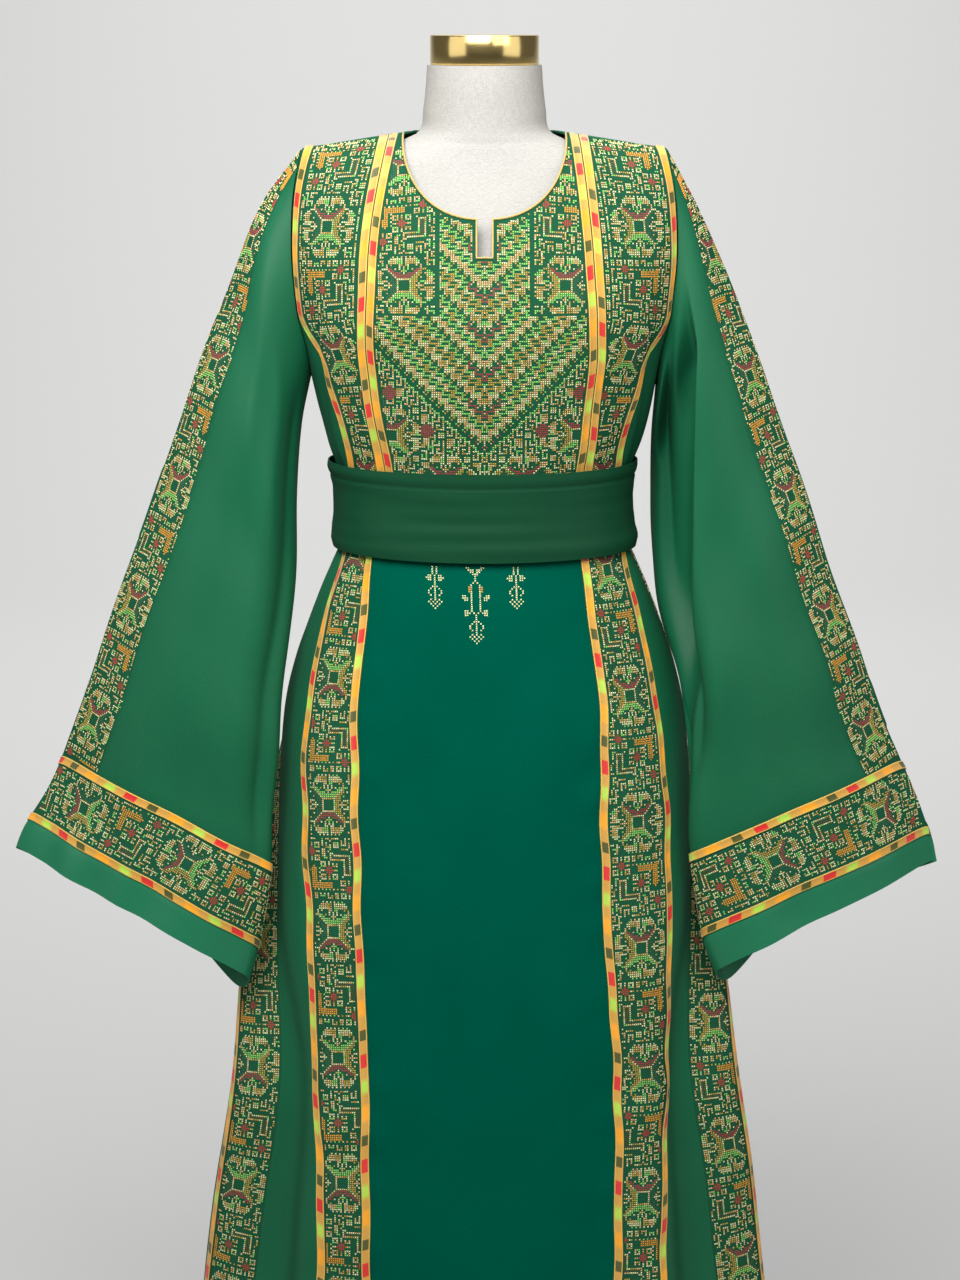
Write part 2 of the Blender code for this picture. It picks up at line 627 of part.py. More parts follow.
def make_piping(edge):
    """A fine piping beside the edge of an opening, given as the (outer, inner) points along it."""
    bm = bmesh.new()
    rings = []
    middles = [(a + b) / 2 for a, b in edge]
    for i, (outside, inside) in enumerate(edge):
        before = (middles[i] - middles[max(i - 1, 0)]).normalized()
        after = (middles[min(i + 1, len(edge) - 1)] - middles[i]).normalized()
        along = (before + after).normalized()
        out = (outside - inside).normalized()
        aside = out.cross(along).normalized()
        mitre = 1 / max(0.6, before.dot(along) if i else 1.0)
        centre = middles[i] + aside * (PIPING_RADIUS + SEAM_GAP) * mitre
        ring = []
        for k in range(PIPING_SIDES):
            turn = 2 * math.pi * k / PIPING_SIDES
            reach = aside * mitre * math.cos(turn) + out * math.sin(turn)
            ring.append(bm.verts.new(centre + reach * PIPING_RADIUS))
        rings.append(ring)
    for a, b in zip(rings, rings[1:]):
        for k in range(PIPING_SIDES):
            bm.faces.new((a[k], a[(k + 1) % PIPING_SIDES], b[(k + 1) % PIPING_SIDES], b[k]))
    bm.faces.new(rings[0])
    bm.faces.new(rings[-1])
    make_object("neck_binding", bm, "ribbon")


def side_seam_places(side):
    """The front panel's outer edge, as (turn, level): the side seam, then the armhole."""
    sign = dict(SIDES)[side]
    places = []
    for level in LEVELS[:LOWER_ROWS]:
        x = read(BODICE_SEAM_COLUMNS, BODICE_SEAM_ROWS, "side", level)
        places.append((sign * bodice_turn(x, level), level))
    for turn in reversed(FRONT_ARMHOLE_TURNS):
        at_turn, level = armhole(turn)
        places.append((sign * at_turn, level))
    return places


def make_front_side(side):
    """The embroidered panel between the yoke and the armhole, with a ribbon along each edge."""
    sign = dict(SIDES)[side]
    seam = [
        (sign * bodice_turn(read(BODICE_SEAM_COLUMNS, BODICE_SEAM_ROWS, "yoke_" + side, v), v), v)
        for v in LEVELS
    ]
    edge = side_seam_places(side)
    widths = spans(bodice_point, seam, edge)

    def shares(row):
        ribbon, at_armhole = RIBBON / widths[row], (RIBBON + ARMHOLE_SHOWS) / widths[row]
        return (0, ribbon, (1 + ribbon - at_armhole) / 2, 1 - at_armhole, 1)

    outer, inner = panel("bodice_front_" + side, BODICE, cells_between(seam, edge, shares), "embroidery")
    ribbon_over("trim_front_" + side, outer, inner, (0, 1))
    ribbon_over("trim_armhole_" + side, outer, inner, (3, 4), (SEAM_GAP, ARMHOLE_SHOWS))


def make_bodice_side(side):
    """The plain panel under the arm, from the front's side seam round to the side line."""
    sign = dict(SIDES)[side]
    rows = LOWER_ROWS + 1
    front = side_seam_places(side)[:rows]
    columns = [front]
    count = len(UNDER_ARM_TURNS) - 1
    for k in range(1, count + 1):
        top_turn, top_level = armhole(UNDER_ARM_TURNS[k])
        column = []
        for row in range(rows):
            share = row / LOWER_ROWS
            from_turn = abs(front[row][0]) + (90 - abs(front[row][0])) * k / count
            end_turn = from_turn + (top_turn - from_turn) * share**2
            column.append((sign * end_turn, top_level * share))
        columns.append(column)
    grid = [[column[row] for column in columns] for row in range(rows)]
    panel("bodice_side_" + side, BODICE, grid, "satin")


BACK_SHARES = (0.0, 0.23, 0.46, 0.68, 1.0)
PAST_NECK_SHARES = (0.0, 0.06, 0.20, 0.42, 0.70, 1.0)


BACK_LEVELS = [ARMPIT_LEVEL * i / LOWER_ROWS for i in range(LOWER_ROWS + 1)]
BACK_LEVELS += [0.455, 0.570, 0.690, 0.810, 0.910, 0.972, 1.0]


def back_column(to_neck, past_neck):
    """(turn, level) up the rows of the back: shares of the way to the neck point, and on to centre back."""
    column = []
    for row, inner_level in enumerate(BACK_LEVELS):
        if row < LOWER_ROWS:
            edge = (90.0, inner_level)
        else:
            edge = armhole(BACK_ARMHOLE_TURNS[row - LOWER_ROWS])
        half = read(BODICE_COLUMNS, BODICE_ROWS, "half_width", inner_level)
        neck_turn = 180 - math.degrees(math.asin(NECK_HALF / half))
        turn = edge[0] + (neck_turn - edge[0]) * to_neck + (180 - neck_turn) * past_neck
        drop = (1 - NAPE_LEVEL) * math.sin(past_neck * math.pi / 2) * inner_level**4
        level = edge[1] + (inner_level - edge[1]) * to_neck - drop
        column.append((turn, level))
    return column


def make_bodice_back():
    half = [back_column(share, 0.0) for share in BACK_SHARES]
    half += [back_column(1.0, share) for share in PAST_NECK_SHARES[1:]]
    mirrored = [[(-turn, level) for turn, level in column] for column in half]
    columns = half + list(reversed(mirrored[:-1]))
    unwound = [[(turn if turn > 0 else 360 + turn, level) for turn, level in column] for column in columns]

    def point(turn, level):
        return bodice_point(turn if turn <= 180 else turn - 360, level)

    def normal(turn, level):
        if level > 0.9999:
            return Vector((0, 0, 1))
        return face_normal(point, turn, level)

    grid = [[column[row] for column in unwound] for row in range(len(LEVELS))]
    panel("bodice_back", (point, normal), grid, "satin")


# ------------------------------------------------------------------ skirt
def seam_turns(name, side):
    """Turn of a named seam at each of the skirt's heights."""
    sign = dict(SIDES)[side]
    turns = []
    for height in SKIRT_HEIGHTS:
        value = read(SKIRT_SEAM_COLUMNS, SKIRT_SEAM_ROWS, f"{name}_{side}", height)
        turns.append(sign * (value if name == "side" else mirrored_turn(value, sign, height)))
    return turns


def mirrored_turn(x, sign, height):
    """Turn of a distance from the centre, on the wearer's left or, with sign -1, right."""
    low, high = 0.0, 88.0
    for _ in range(30):
        middle = (low + high) / 2
        if abs(skirt_point(sign * middle, height).x) < x:
            low = middle
        else:
            high = middle
    return low


def places(turns):
    return list(zip(turns, SKIRT_HEIGHTS))


def make_skirt():
    """Front panel, then on each side the front band, gore, side band and back, with their ribbons."""
    inner = {side: places(seam_turns("inner", side)) for side, _ in SIDES}
    front_shares = [i / 6 for i in range(7)]
    grid = cells_between(inner["right"], inner["left"], front_shares)
    panel("skirt_front_panel", SKIRT, grid, "matte_green")
    for side, sign in SIDES:
        outer = places(seam_turns("outer", side))
        side_outer = places(seam_turns("side", side))
        side_inner = [
            (sign * turn_before(abs(turn), sign, height, BAND), height) for turn, height in side_outer
        ]
        widths = spans(skirt_point, inner[side], outer)

        def band_shares(row):
            ribbon = RIBBON / widths[row]
            return (0, ribbon, 0.5, 1 - ribbon, 1)

        grid = cells_between(inner[side], outer, band_shares)
        outside, inside = panel("skirt_front_band_" + side, SKIRT, grid, "embroidery")
        ribbon_over("trim_skirt_inner_" + side, outside, inside, (0, 1))
        ribbon_over("trim_skirt_outer_" + side, outside, inside, (3, 4))
        grid = cells_between(outer, side_inner, (0, 0.25, 0.5, 0.75, 1))
        panel("skirt_gore_" + side, SKIRT, grid, "satin")
        ribbon = RIBBON / BAND
        grid = cells_between(side_inner, side_outer, (0, 0.3, 0.6, 1 - ribbon, 1))
        outside, inside = panel("skirt_side_band_" + side, SKIRT, grid, "embroidery")
        ribbon_over("trim_skirt_side_" + side, outside, inside, (3, 4))
        centre_back = places([sign * 180.0] * len(SKIRT_HEIGHTS))
        grid = cells_between(side_outer, centre_back, [i / 9 for i in range(10)])
        panel("skirt_back_" + side, SKIRT, grid, "satin")


# ------------------------------------------------------------------ sleeves
SLEEVE_TURNS = FRONT_ARMHOLE_TURNS[:-1] + UNDER_ARM_TURNS[:-1] + BACK_ARMHOLE_TURNS[:-1]
BAND_TURN_FIRST, BAND_TURN_LAST = 1, 6  # columns of the sleeve's turns near the band's two seams


def sleeve_wall(side, turns, stations):
    """Outer and inner points of a sleeve's wall. Its first ring leans with the bodice's edge."""
    sign = dict(SIDES)[side]

    def point(turn, station):
        return sleeve_point(side, turn % 360, max(station, 0.0))

    outer, inner = [], []
    for r, station in enumerate(stations):
        outs, ins = [], []
        for turn in turns[r] if isinstance(turns[0], (list, tuple)) else turns:
            p = point(turn, station)
            n = face_normal(point, turn, max(station, 0.0009))
            n = n if sign > 0 else -n
            if station == 0:
                leaving = (point(turn, 0.02) - p).normalized()
                into_hole, at_edge = armhole_frame(sign, turn)
                p += (into_hole + leaving).normalized() * SEAM_GAP
                if leaving.dot(at_edge) < 0:
                    n = at_edge
            outs.append(p)
            ins.append(p - n * CLOTH)
        outer.append(outs)
        inner.append(ins)
    return outer, inner


def armhole_frame(sign, turn):
    """At a point of the armhole, the bodice's direction into the hole and its outward normal."""
    edge = [bodice_point(sign * t, level) for t, level in map(armhole, ((turn - 1) % 360, (turn + 1) % 360))]
    at_turn, level = armhole(turn % 360)
    normal = bodice_normal(sign * at_turn, level)
    into_hole = (edge[1] - edge[0]).cross(normal).normalized()
    middle = Vector((sign * 0.2, 0, 1.33))
    if into_hole.dot(middle - edge[0]) < 0:
        into_hole = -into_hole
    return into_hole, normal


def turn_along(side, station, distance):
    """The turn that lies a distance along the sleeve's section from its outer fold."""
    step, walked, at = (2.0 if distance > 0 else -2.0), 0.0, 0.0
    while True:
        length = (sleeve_point(side, at + step, station) - sleeve_point(side, at, station)).length
        if walked + length >= abs(distance):
            return at + step * (abs(distance) - walked) / length
        walked, at = walked + length, at + step


def band_turns(side, station):
    """The two seams of the embroidered band on a sleeve: behind its outer fold, and on its front."""
    front = read(SLEEVE_BAND_COLUMNS, SLEEVE_BAND_ROWS, "in_front", station)
    return turn_along(side, station, front - BAND), turn_along(side, station, front)


def make_sleeve(side):
    """Band, front and back of a sleeve, its cuff and its hem."""
    fixed = list(SLEEVE_TURNS)
    band, front, back = [], [], []
    for station in SLEEVE_STATIONS:
        first, last = band_turns(side, station)
        keep = 1 - smooth_between(0.0, 0.10, station)
        first = first * (1 - keep) + -26.0 * keep
        last = last * (1 - keep) + 32.0 * keep
        thirds = [first + (last - first) / 3, first + 2 * (last - first) / 3]
        band.append([first, thirds[0] * (1 - keep), thirds[1] * (1 - keep) + 16.0 * keep, last])
        front_at = [t for t in fixed if 32 <= t <= 166] + [180.0]
        part = [(t - 32.0) / (180.0 - 32.0) for t in front_at]
        front.append([last + (180.0 - last) * p for p in part])
        back_at = [t for t in fixed if 180 <= t <= 334]
        part = [(t - 180.0) / (334.0 - 180.0) for t in back_at]
        back.append([180.0 + (360 + first - 180.0) * p for p in part])
    for name, turns, finish in (
        ("sleeve_band_", band, "embroidery"),
        ("sleeve_front_", front, "satin"),
        ("sleeve_back_", back, "satin"),
    ):
        outer, inner = sleeve_wall(side, turns, SLEEVE_STATIONS)
        cloth_wall(name + side, drawn_in(outer), drawn_in(inner), finish)
    around = band[-1][:-1] + front[-1][:-1] + back[-1][:-1]
    outer, inner = sleeve_wall(side, around, CUFF_STATIONS)
    outer, inner = drawn_in(outer, closed=True), drawn_in(inner, closed=True)
    cloth_wall("cuff_band_" + side, outer, inner, "embroidery", closed=True)
    ring_ribbon("trim_cuff_top_" + side, outer, inner, (0, 1))
    ring_ribbon("trim_cuff_bottom_" + side, outer, inner, (3, 4))
    outer, inner = sleeve_wall(side, around, HEM_STATIONS)
    outer, inner = drawn_in(outer, closed=True), drawn_in(inner, closed=True)
    cloth_wall("sleeve_hem_" + side, outer, inner, "satin", closed=True)


def ring_ribbon(name, outer, inner, rows):
    """A ribbon round a cuff, over two rows of its points, moved out."""
    lifted, laid = [], []
    for row in rows:
        out = [(a - b).normalized() for a, b in zip(outer[row], inner[row])]
        laid.append([p + n * TRIM_LIFT for p, n in zip(outer[row], out)])
        lifted.append([p + n * (TRIM_LIFT + TRIM_THICK) for p, n in zip(outer[row], out)])
    cloth_wall(name, lifted, laid, "ribbon", closed=True)


# ------------------------------------------------------------------ belt
def belt_point(turn, height, moved_in=0.0):
    """Outer face of the belt, which is slack at the sides and turned over at its top edge."""
    angle = math.radians(turn)
    side = "left" if turn % 360 < 180 else "right"
    depth = "front" if math.cos(angle) > 0 else "back"
    wide = read(BELT_COLUMNS, BELT_ROWS, side, height) - moved_in
    deep = read(BELT_COLUMNS, BELT_ROWS, depth, height) - moved_in
    return Vector((wide * math.sin(angle), -deep * math.cos(angle), height))


def make_belt():
    turns = range(0, 360, 10)
    heights = [row[0] for row in BELT_ROWS]
    outer, inner = [], []
    for height in heights:
        groove = BELT_FOLD if abs(height - BELT_FOLD_HEIGHT) < 0.0001 else 0.0
        outer.append([belt_point(turn, height, groove * 0.5) for turn in turns])
        inner.append([belt_point(turn, height, BELT_THICK) for turn in turns])
    cloth_wall("belt", outer, inner, "satin", closed=True)


# ------------------------------------------------------------------ dress form and stand
def make_form():
    """The torso and neck, lofted through its sections and closed at both ends."""
    bm = bmesh.new()
    rings = []
    for height, half, front, back in FORM_ROWS:
        ring = []
        for k in range(FORM_SEGMENTS):
            angle = 2 * math.pi * k / FORM_SEGMENTS
            deep = front if math.cos(angle) > 0 else back
            ring.append(bm.verts.new((half * math.sin(angle), -deep * math.cos(angle), height)))
        rings.append(ring)
    for height, radius in ((1.496, 0.0560), (NECK_TOP_Z, NECK_RADIUS)):
        ring = []
        for k in range(FORM_SEGMENTS):
            angle = 2 * math.pi * k / FORM_SEGMENTS
            ring.append(bm.verts.new((radius * math.sin(angle), -radius * math.cos(angle), height)))
        rings.append(ring)
    for a, b in zip(rings, rings[1:]):
        bmesh.ops.bridge_loops(bm, edges=ring_edges(bm, a) + ring_edges(bm, b))
    bm.faces.new(rings[0])
    bm.faces.new(rings[-1])
    make_object("dress_form", bm, "form_cloth")


def ring_edges(bm, ring):
    """The edges round a ring of vertices, made where they are missing."""
    edges = []
    for a, b in zip(ring, ring[1:] + ring[:1]):
        edges.append(bm.edges.get((a, b)) or bm.edges.new((a, b)))
    return edges


def make_round(name, radius, bottom, top, material, segments=32, edge=0.0):
    """An upright cylinder, with its edges rounded where an edge size is given."""
    bm = bmesh.new()
    bmesh.ops.create_cone(
        bm, cap_ends=True, segments=segments, radius1=radius, radius2=radius, depth=top - bottom
    )
    bmesh.ops.translate(bm, verts=bm.verts, vec=(0, 0, (top + bottom) / 2))
    if edge:
        rims = [e for e in bm.edges if abs(e.verts[0].co.z - e.verts[1].co.z) < 1e-6]
        bmesh.ops.bevel(bm, geom=rims, offset=edge, segments=2, profile=0.5, affect="EDGES")
    make_object(name, bm, material)


# ------------------------------------------------------------------ making everything
for old in list(bpy.data.objects):
    bpy.data.objects.remove(old, do_unlink=True)
garment = bpy.data.collections.new("palestinian_thobe")
bpy.context.scene.collection.children.link(garment)

make_form()
make_round("neck_cap", CAP_RADIUS, NECK_TOP_Z + SEAM_GAP, CAP_TOP_Z, "gold", segments=40, edge=0.0012)
make_round("stand_pole", POLE_RADIUS, BASE_THICK + SEAM_GAP, FORM_BOTTOM_Z - SEAM_GAP, "steel", segments=16)
make_round("stand_base", BASE_RADIUS, 0.0, BASE_THICK, "base_metal", segments=40, edge=0.003)
make_yoke()
make_bodice_back()
for side, _ in SIDES:
    make_front_side(side)
    make_bodice_side(side)
    make_sleeve(side)
make_skirt()
make_belt()
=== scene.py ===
"""An embroidered thobe with its belt, on a limbless dress form: the looks, made round the CAD frame."""
# %% [markdown]
# # A belted, cross-stitched thobe on a dress form
# The frame holds the dress as plain solid walls. This lesson makes each piece again as fine cloth:
# satin panels, embroidered panels with real raised stitches, woven ribbons, a soft belt, and the form.
# Everything is in metres, +Z is up, the front faces -Y, and the wearer's left is +X.

# %% Load the frame
import json
import math

import bmesh
import bpy
import numpy as np
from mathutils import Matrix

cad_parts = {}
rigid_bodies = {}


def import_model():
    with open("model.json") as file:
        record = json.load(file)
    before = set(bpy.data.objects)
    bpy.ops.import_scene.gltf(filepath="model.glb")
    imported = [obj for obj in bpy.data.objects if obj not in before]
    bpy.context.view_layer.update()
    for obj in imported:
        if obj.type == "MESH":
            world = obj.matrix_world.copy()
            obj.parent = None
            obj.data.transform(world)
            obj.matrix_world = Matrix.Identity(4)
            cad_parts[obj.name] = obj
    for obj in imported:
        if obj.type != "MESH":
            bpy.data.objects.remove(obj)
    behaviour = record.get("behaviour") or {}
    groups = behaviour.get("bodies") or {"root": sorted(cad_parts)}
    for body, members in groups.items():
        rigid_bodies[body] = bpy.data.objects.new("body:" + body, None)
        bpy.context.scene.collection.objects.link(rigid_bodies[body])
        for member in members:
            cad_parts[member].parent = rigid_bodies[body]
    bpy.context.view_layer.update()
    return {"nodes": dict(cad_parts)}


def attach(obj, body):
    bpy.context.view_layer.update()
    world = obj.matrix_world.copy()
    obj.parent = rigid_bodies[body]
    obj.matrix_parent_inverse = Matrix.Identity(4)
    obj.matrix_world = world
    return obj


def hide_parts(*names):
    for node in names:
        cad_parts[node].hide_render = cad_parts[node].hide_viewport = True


for old in list(bpy.data.objects):
    bpy.data.objects.remove(old)
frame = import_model()
print("solids in the frame:", len(frame["nodes"]))

# %% [markdown]
# ## The camera
# It stands 2.9 m in front of the form at the height of its head and looks down a little, so the belt
# and the cuffs curve downwards in the picture. The hem and the stand are under the picture's edge.

# %% Camera
CAMERA_AT, CAMERA_TILT, CAMERA_LENS = (-0.0043, -2.9, 1.58), 12.1, 84.375
eye = bpy.data.cameras.new("camera")
eye.sensor_fit, eye.sensor_height, eye.lens = "VERTICAL", 36, CAMERA_LENS
camera = bpy.data.objects.new("camera", eye)
bpy.context.scene.collection.objects.link(camera)
camera.location = CAMERA_AT
camera.rotation_euler = (math.radians(90 - CAMERA_TILT), 0, 0)
bpy.context.scene.camera = camera
print("the camera is at", CAMERA_AT, "and looks", CAMERA_TILT, "degrees down")

# %% [markdown]
# ## Sizes
# A garment is easiest to shape from sections, as a pattern cutter measures a body: how wide and how
# deep it is at each height. The tables in this lesson hold the sections that the solids were made from.
# A smooth curve is drawn through each column, so a few rows give a fine surface.

# %% Sizes, and how a table is read
CLOTH = 0.0014  # thickness of each layer of cloth
SEAM_GAP = 0.0003  # space between two pieces that are sewn together
RIBBON, BAND = 0.0095, 0.060  # how wide they are
SIDES = {"right": -1, "left": 1}  # the wearer's right is -X


def table(columns, *rows):
    """Rows of numbers under named columns."""
    return {"columns": columns.split(), "rows": np.array(rows, float)}


def smooth_between(low, high, at):
    """0 below low, 1 above high, and an eased step between."""
    part = np.clip((np.asarray(at, float) - low) / (high - low), 0, 1)
    return part * part * (3 - 2 * part)


def hill(distance, spread):
    """1 at the middle of a fold, falling smoothly to nothing at about twice its spread."""
    return np.exp(-((distance / spread) ** 2))


def read(sizes, name, at):
    """The named column of a table at places along its first column, on a smooth curve through its rows."""
    x, y = sizes["rows"][:, 0], sizes["rows"][:, sizes["columns"].index(name)]
    low, high = np.arange(len(x)) - 1, np.arange(len(x)) + 1
    low[0], high[-1] = 0, len(x) - 1
    slope = (y[high] - y[low]) / (x[high] - x[low])
    at = np.clip(at, x[0], x[-1])
    k = np.clip(np.searchsorted(x, at, side="right") - 1, 0, len(x) - 2)
    width = x[k + 1] - x[k]
    t = (at - x[k]) / width
    return (
        (2 * t**3 - 3 * t**2 + 1) * y[k]
        + (t**3 - 2 * t**2 + t) * width * slope[k]
        + (3 * t**2 - 2 * t**3) * y[k + 1]
        + (t**3 - t**2) * width * slope[k + 1]
    )


def ripple(a, b, size, seed, waves=7):
    """A gentle unevenness about as wide as size, which is the same each time: a few crossing waves."""
    chance = np.random.default_rng(seed)
    total = 0.0
    for _ in range(waves):
        way, start = chance.uniform(0, 2 * math.pi, 2)
        stretch = chance.uniform(0.7, 1.4)
        total = total + np.sin(2 * math.pi / size * stretch * (a * math.cos(way) + b * math.sin(way)) + start)
    return total / math.sqrt(waves)


def read_either(test, sizes, name, other_name, at):
    """One named column where the test is true, and the other elsewhere."""
    return np.where(test, read(sizes, name, at), read(sizes, other_name, at))


def turned_about(turn):
    """A turn in degrees as one from -180 to 180."""
    return (turn + 180) % 360 - 180


print("between 0 and 1, an eased step passes", smooth_between(0, 1, [0.25, 0.5, 0.75]))

# %% [markdown]
# ## Three surfaces
# The bodice, the skirt and each sleeve are one smooth surface apiece: a rule that turns two numbers,
# such as a turn round the body and a height, into a point. Panels that are sewn together then share
# their seam exactly, because both take it from the same rule. Small creases are added to the rule
# itself, so that they cross a seam as they do on the real dress.
#
# The bodice comes first. Its levels run from 0 at the waist to 1 at the shoulder.

# %% The bodice's sections and seams
WAIST_Z, SHOULDER_Z = 1.095, 1.4375
ARMPIT_LEVEL, ARMHOLE_SET_IN = 0.371, 21.0
NECK_HALF, NECK_DROP, NECK_RISE, BACK_RISE = 0.0775, 0.0745, 0.026, 0.13
BODICE = table(
    "level half_width front_depth back_depth",
    (0.000, 0.1370, 0.0965, 0.0870),
    (0.092, 0.1405, 0.0985, 0.0875),
    (0.184, 0.1515, 0.1050, 0.0895),
    (0.276, 0.1605, 0.1140, 0.0925),
    (0.371, 0.1675, 0.1215, 0.0960),
    (0.460, 0.1760, 0.1270, 0.1000),
    (0.553, 0.1870, 0.1285, 0.1025),
    (0.642, 0.1930, 0.1225, 0.1030),
    (0.729, 0.1955, 0.1120, 0.1015),
    (0.818, 0.1955, 0.0970, 0.0970),
    (0.892, 0.1935, 0.0790, 0.0870),
    (0.952, 0.1900, 0.0560, 0.0660),
    (0.988, 0.1875, 0.0290, 0.0360),
    (1.000, 0.1864, 0.0000, 0.0000),
)
BODICE_SEAMS = table(
    "level yoke_right yoke_left side",
    (0.000, 0.0915, 0.0905, 0.1280),
    (0.110, 0.0935, 0.0935, 0.1305),
    (0.240, 0.1010, 0.0985, 0.1385),
    (0.370, 0.1080, 0.1030, 0.1510),
    (0.480, 0.1110, 0.1055, 0.1560),
    (0.700, 0.1085, 0.1015, 0.1700),
    (0.820, 0.1040, 0.0975, 0.1740),
    (1.000, 0.0912, 0.0895, 0.1740),
)
print("the bodice is", 2 * float(read(BODICE, "half_width", ARMPIT_LEVEL)), "m wide at the armpits")

# %% The bodice's surface
def bodice_point(turn, level):
    """A point of the bodice. The turn is in degrees from the centre front to the wearer's left."""
    turn, level = np.broadcast_arrays(np.asarray(turn, float), np.asarray(level, float))
    turn = turned_about(turn)
    angle = np.radians(turn)
    depth = read_either(np.abs(turn) <= 90, BODICE, "front_depth", "back_depth", level)
    x = read(BODICE, "half_width", level) * np.sin(angle)
    y = -depth * np.cos(angle)
    lift = NECK_RISE * (1 - np.abs(x) / BODICE["rows"][-1][1]) + BACK_RISE * np.maximum(y, 0)
    z = WAIST_Z + level * (SHOULDER_Z - WAIST_Z) + smooth_between(0.5, 1.0, level) * lift
    out = bodice_crease(turn, level)
    return np.stack([x + out * np.sin(angle), y - out * np.cos(angle), z], -1)


# Drag lines: turn at the waist, how far they turn by the shoulder, how far they stand out, half width.
DRAG_LINES = ((84.0, -45.0, -0.0016, 2.6), (72.0, -30.0, 0.0012, 3.0), (104.0, 30.0, -0.0016, 4.0))


def bodice_crease(turn, level):
    """How far the bodice's small creases stand out: drag lines from the armpits, and ease over the belt."""
    side = np.abs(turn)
    middle = smooth_between(0.04, 0.2, level) * (1 - smooth_between(0.55, 0.85, level))
    drag = sum(deep * hill(side - start - slope * level, wide) for start, slope, deep, wide in DRAG_LINES)
    over_belt = (1 - smooth_between(0.12, 0.34, level)) * 0.0010 * np.sin(np.radians(side) * 17 + 1.0)
    soft = 0.0007 * ripple(np.radians(turn) * 0.17, level * 0.34, 0.085, 11)
    fade = 1 - smooth_between(0.86, 0.97, level)
    return (drag * middle + over_belt * smooth_between(38, 52, side) + soft * middle) * fade


def bodice_turn(x, level):
    """Turn on the front of the bodice at a distance from its centre."""
    return np.degrees(np.arcsin(np.clip(x / read(BODICE, "half_width", level), -1, 1)))


def armhole(turn):
    """(turn, level) on the bodice of a point round the armhole: 0 is the shoulder's tip, 180 the armpit."""
    turn = np.asarray(turn, float) % 360
    down = (1 - np.cos(np.radians(turn))) / 2
    edge = ARMHOLE_SET_IN * np.sqrt(np.maximum(0, 1 - down**4))
    return np.where(turn <= 180, 90 - edge, 90 + edge), 1 - (1 - ARMPIT_LEVEL) * down


print("centre front of the waist:", bodice_point(0, 0).round(4))

# %% [markdown]
# The skirt widens from the belt to the hem and falls in long folds. The folds belong to the seams, since
# the cloth beside a heavy, stitched band turns back on itself. So each fold's turn is counted from a seam.

# %% The skirt's sections, seams and folds
SKIRT = table(
    "height half_width front_depth back_depth",
    (0.020, 0.3000, 0.2300, 0.2370),
    (0.100, 0.2930, 0.2220, 0.2280),
    (0.200, 0.2830, 0.2110, 0.2170),
    (0.300, 0.2720, 0.2000, 0.2060),
    (0.400, 0.2600, 0.1880, 0.1940),
    (0.500, 0.2480, 0.1760, 0.1820),
    (0.600, 0.2350, 0.1640, 0.1700),
    (0.680, 0.2240, 0.1550, 0.1600),
    (0.760, 0.2140, 0.1460, 0.1500),
    (0.840, 0.2050, 0.1370, 0.1400),
    (0.900, 0.1970, 0.1300, 0.1310),
    (0.944, 0.1860, 0.1230, 0.1220),
    (0.980, 0.1735, 0.1165, 0.1130),
    (1.015, 0.1600, 0.1095, 0.1040),
    (1.040, 0.1490, 0.1035, 0.0960),
    (1.060, 0.1408, 0.0990, 0.0910),
    (1.095, 0.1370, 0.0965, 0.0870),
)
SKIRT_SEAMS = table(
    "height inner_right outer_right inner_left outer_left side_right side_left",
    (0.020, 0.1100, 0.1700, 0.1240, 0.1780, 72.0, 73.0),
    (0.400, 0.1098, 0.1640, 0.1245, 0.1790, 73.0, 74.0),
    (0.550, 0.1115, 0.1665, 0.1240, 0.1795, 74.0, 75.0),
    (0.700, 0.1160, 0.1735, 0.1140, 0.1825, 89.0, 88.0),
    (0.840, 0.1206, 0.1765, 0.1100, 0.1768, 103.0, 102.0),
    (0.920, 0.1195, 0.1715, 0.1085, 0.1675, 109.0, 107.0),
    (1.000, 0.1110, 0.1540, 0.0980, 0.1500, 112.0, 109.0),
    (1.050, 0.1075, 0.1380, 0.0920, 0.1370, 115.0, 111.0),
    (1.095, 0.1040, 0.1290, 0.0905, 0.1260, 117.0, 112.0),
)
SKIRT_EDGE_DEPTH, SKIRT_ROUNDING = 0.76, 2.5
# Skirt folds: turn from its seam, how far it stands out at the hem, half width, height it starts under.
FRONT_FOLD = (-1.0, 0.007, 8.0, 1.00)
SIDE_FOLDS = (
    (-14.0, -0.027, 8.0, 0.98),
    (-1.0, 0.026, 8.5, 1.00),
    (26.0, -0.020, 10.0, 0.95),
    (48.0, 0.018, 10.0, 0.95),
    (70.0, -0.020, 10.0, 0.90),
    (107.0, 0.012, 14.0, 0.90),
)
FOLDS_FULL_UNDER = 0.30  # height under which a fold has its whole depth
print("skirt 0.5 m up is", 2 * float(read(SKIRT, "half_width", 0.5)), "m wide")


# %% The skirt's surface
def halved(low, high, too_low):
    """The number at which a test of an array of numbers changes, found by halving."""
    for _ in range(30):
        middle = (low + high) / 2
        below = too_low(middle)
        low, high = np.where(below, middle, low), np.where(below, high, middle)
    return low


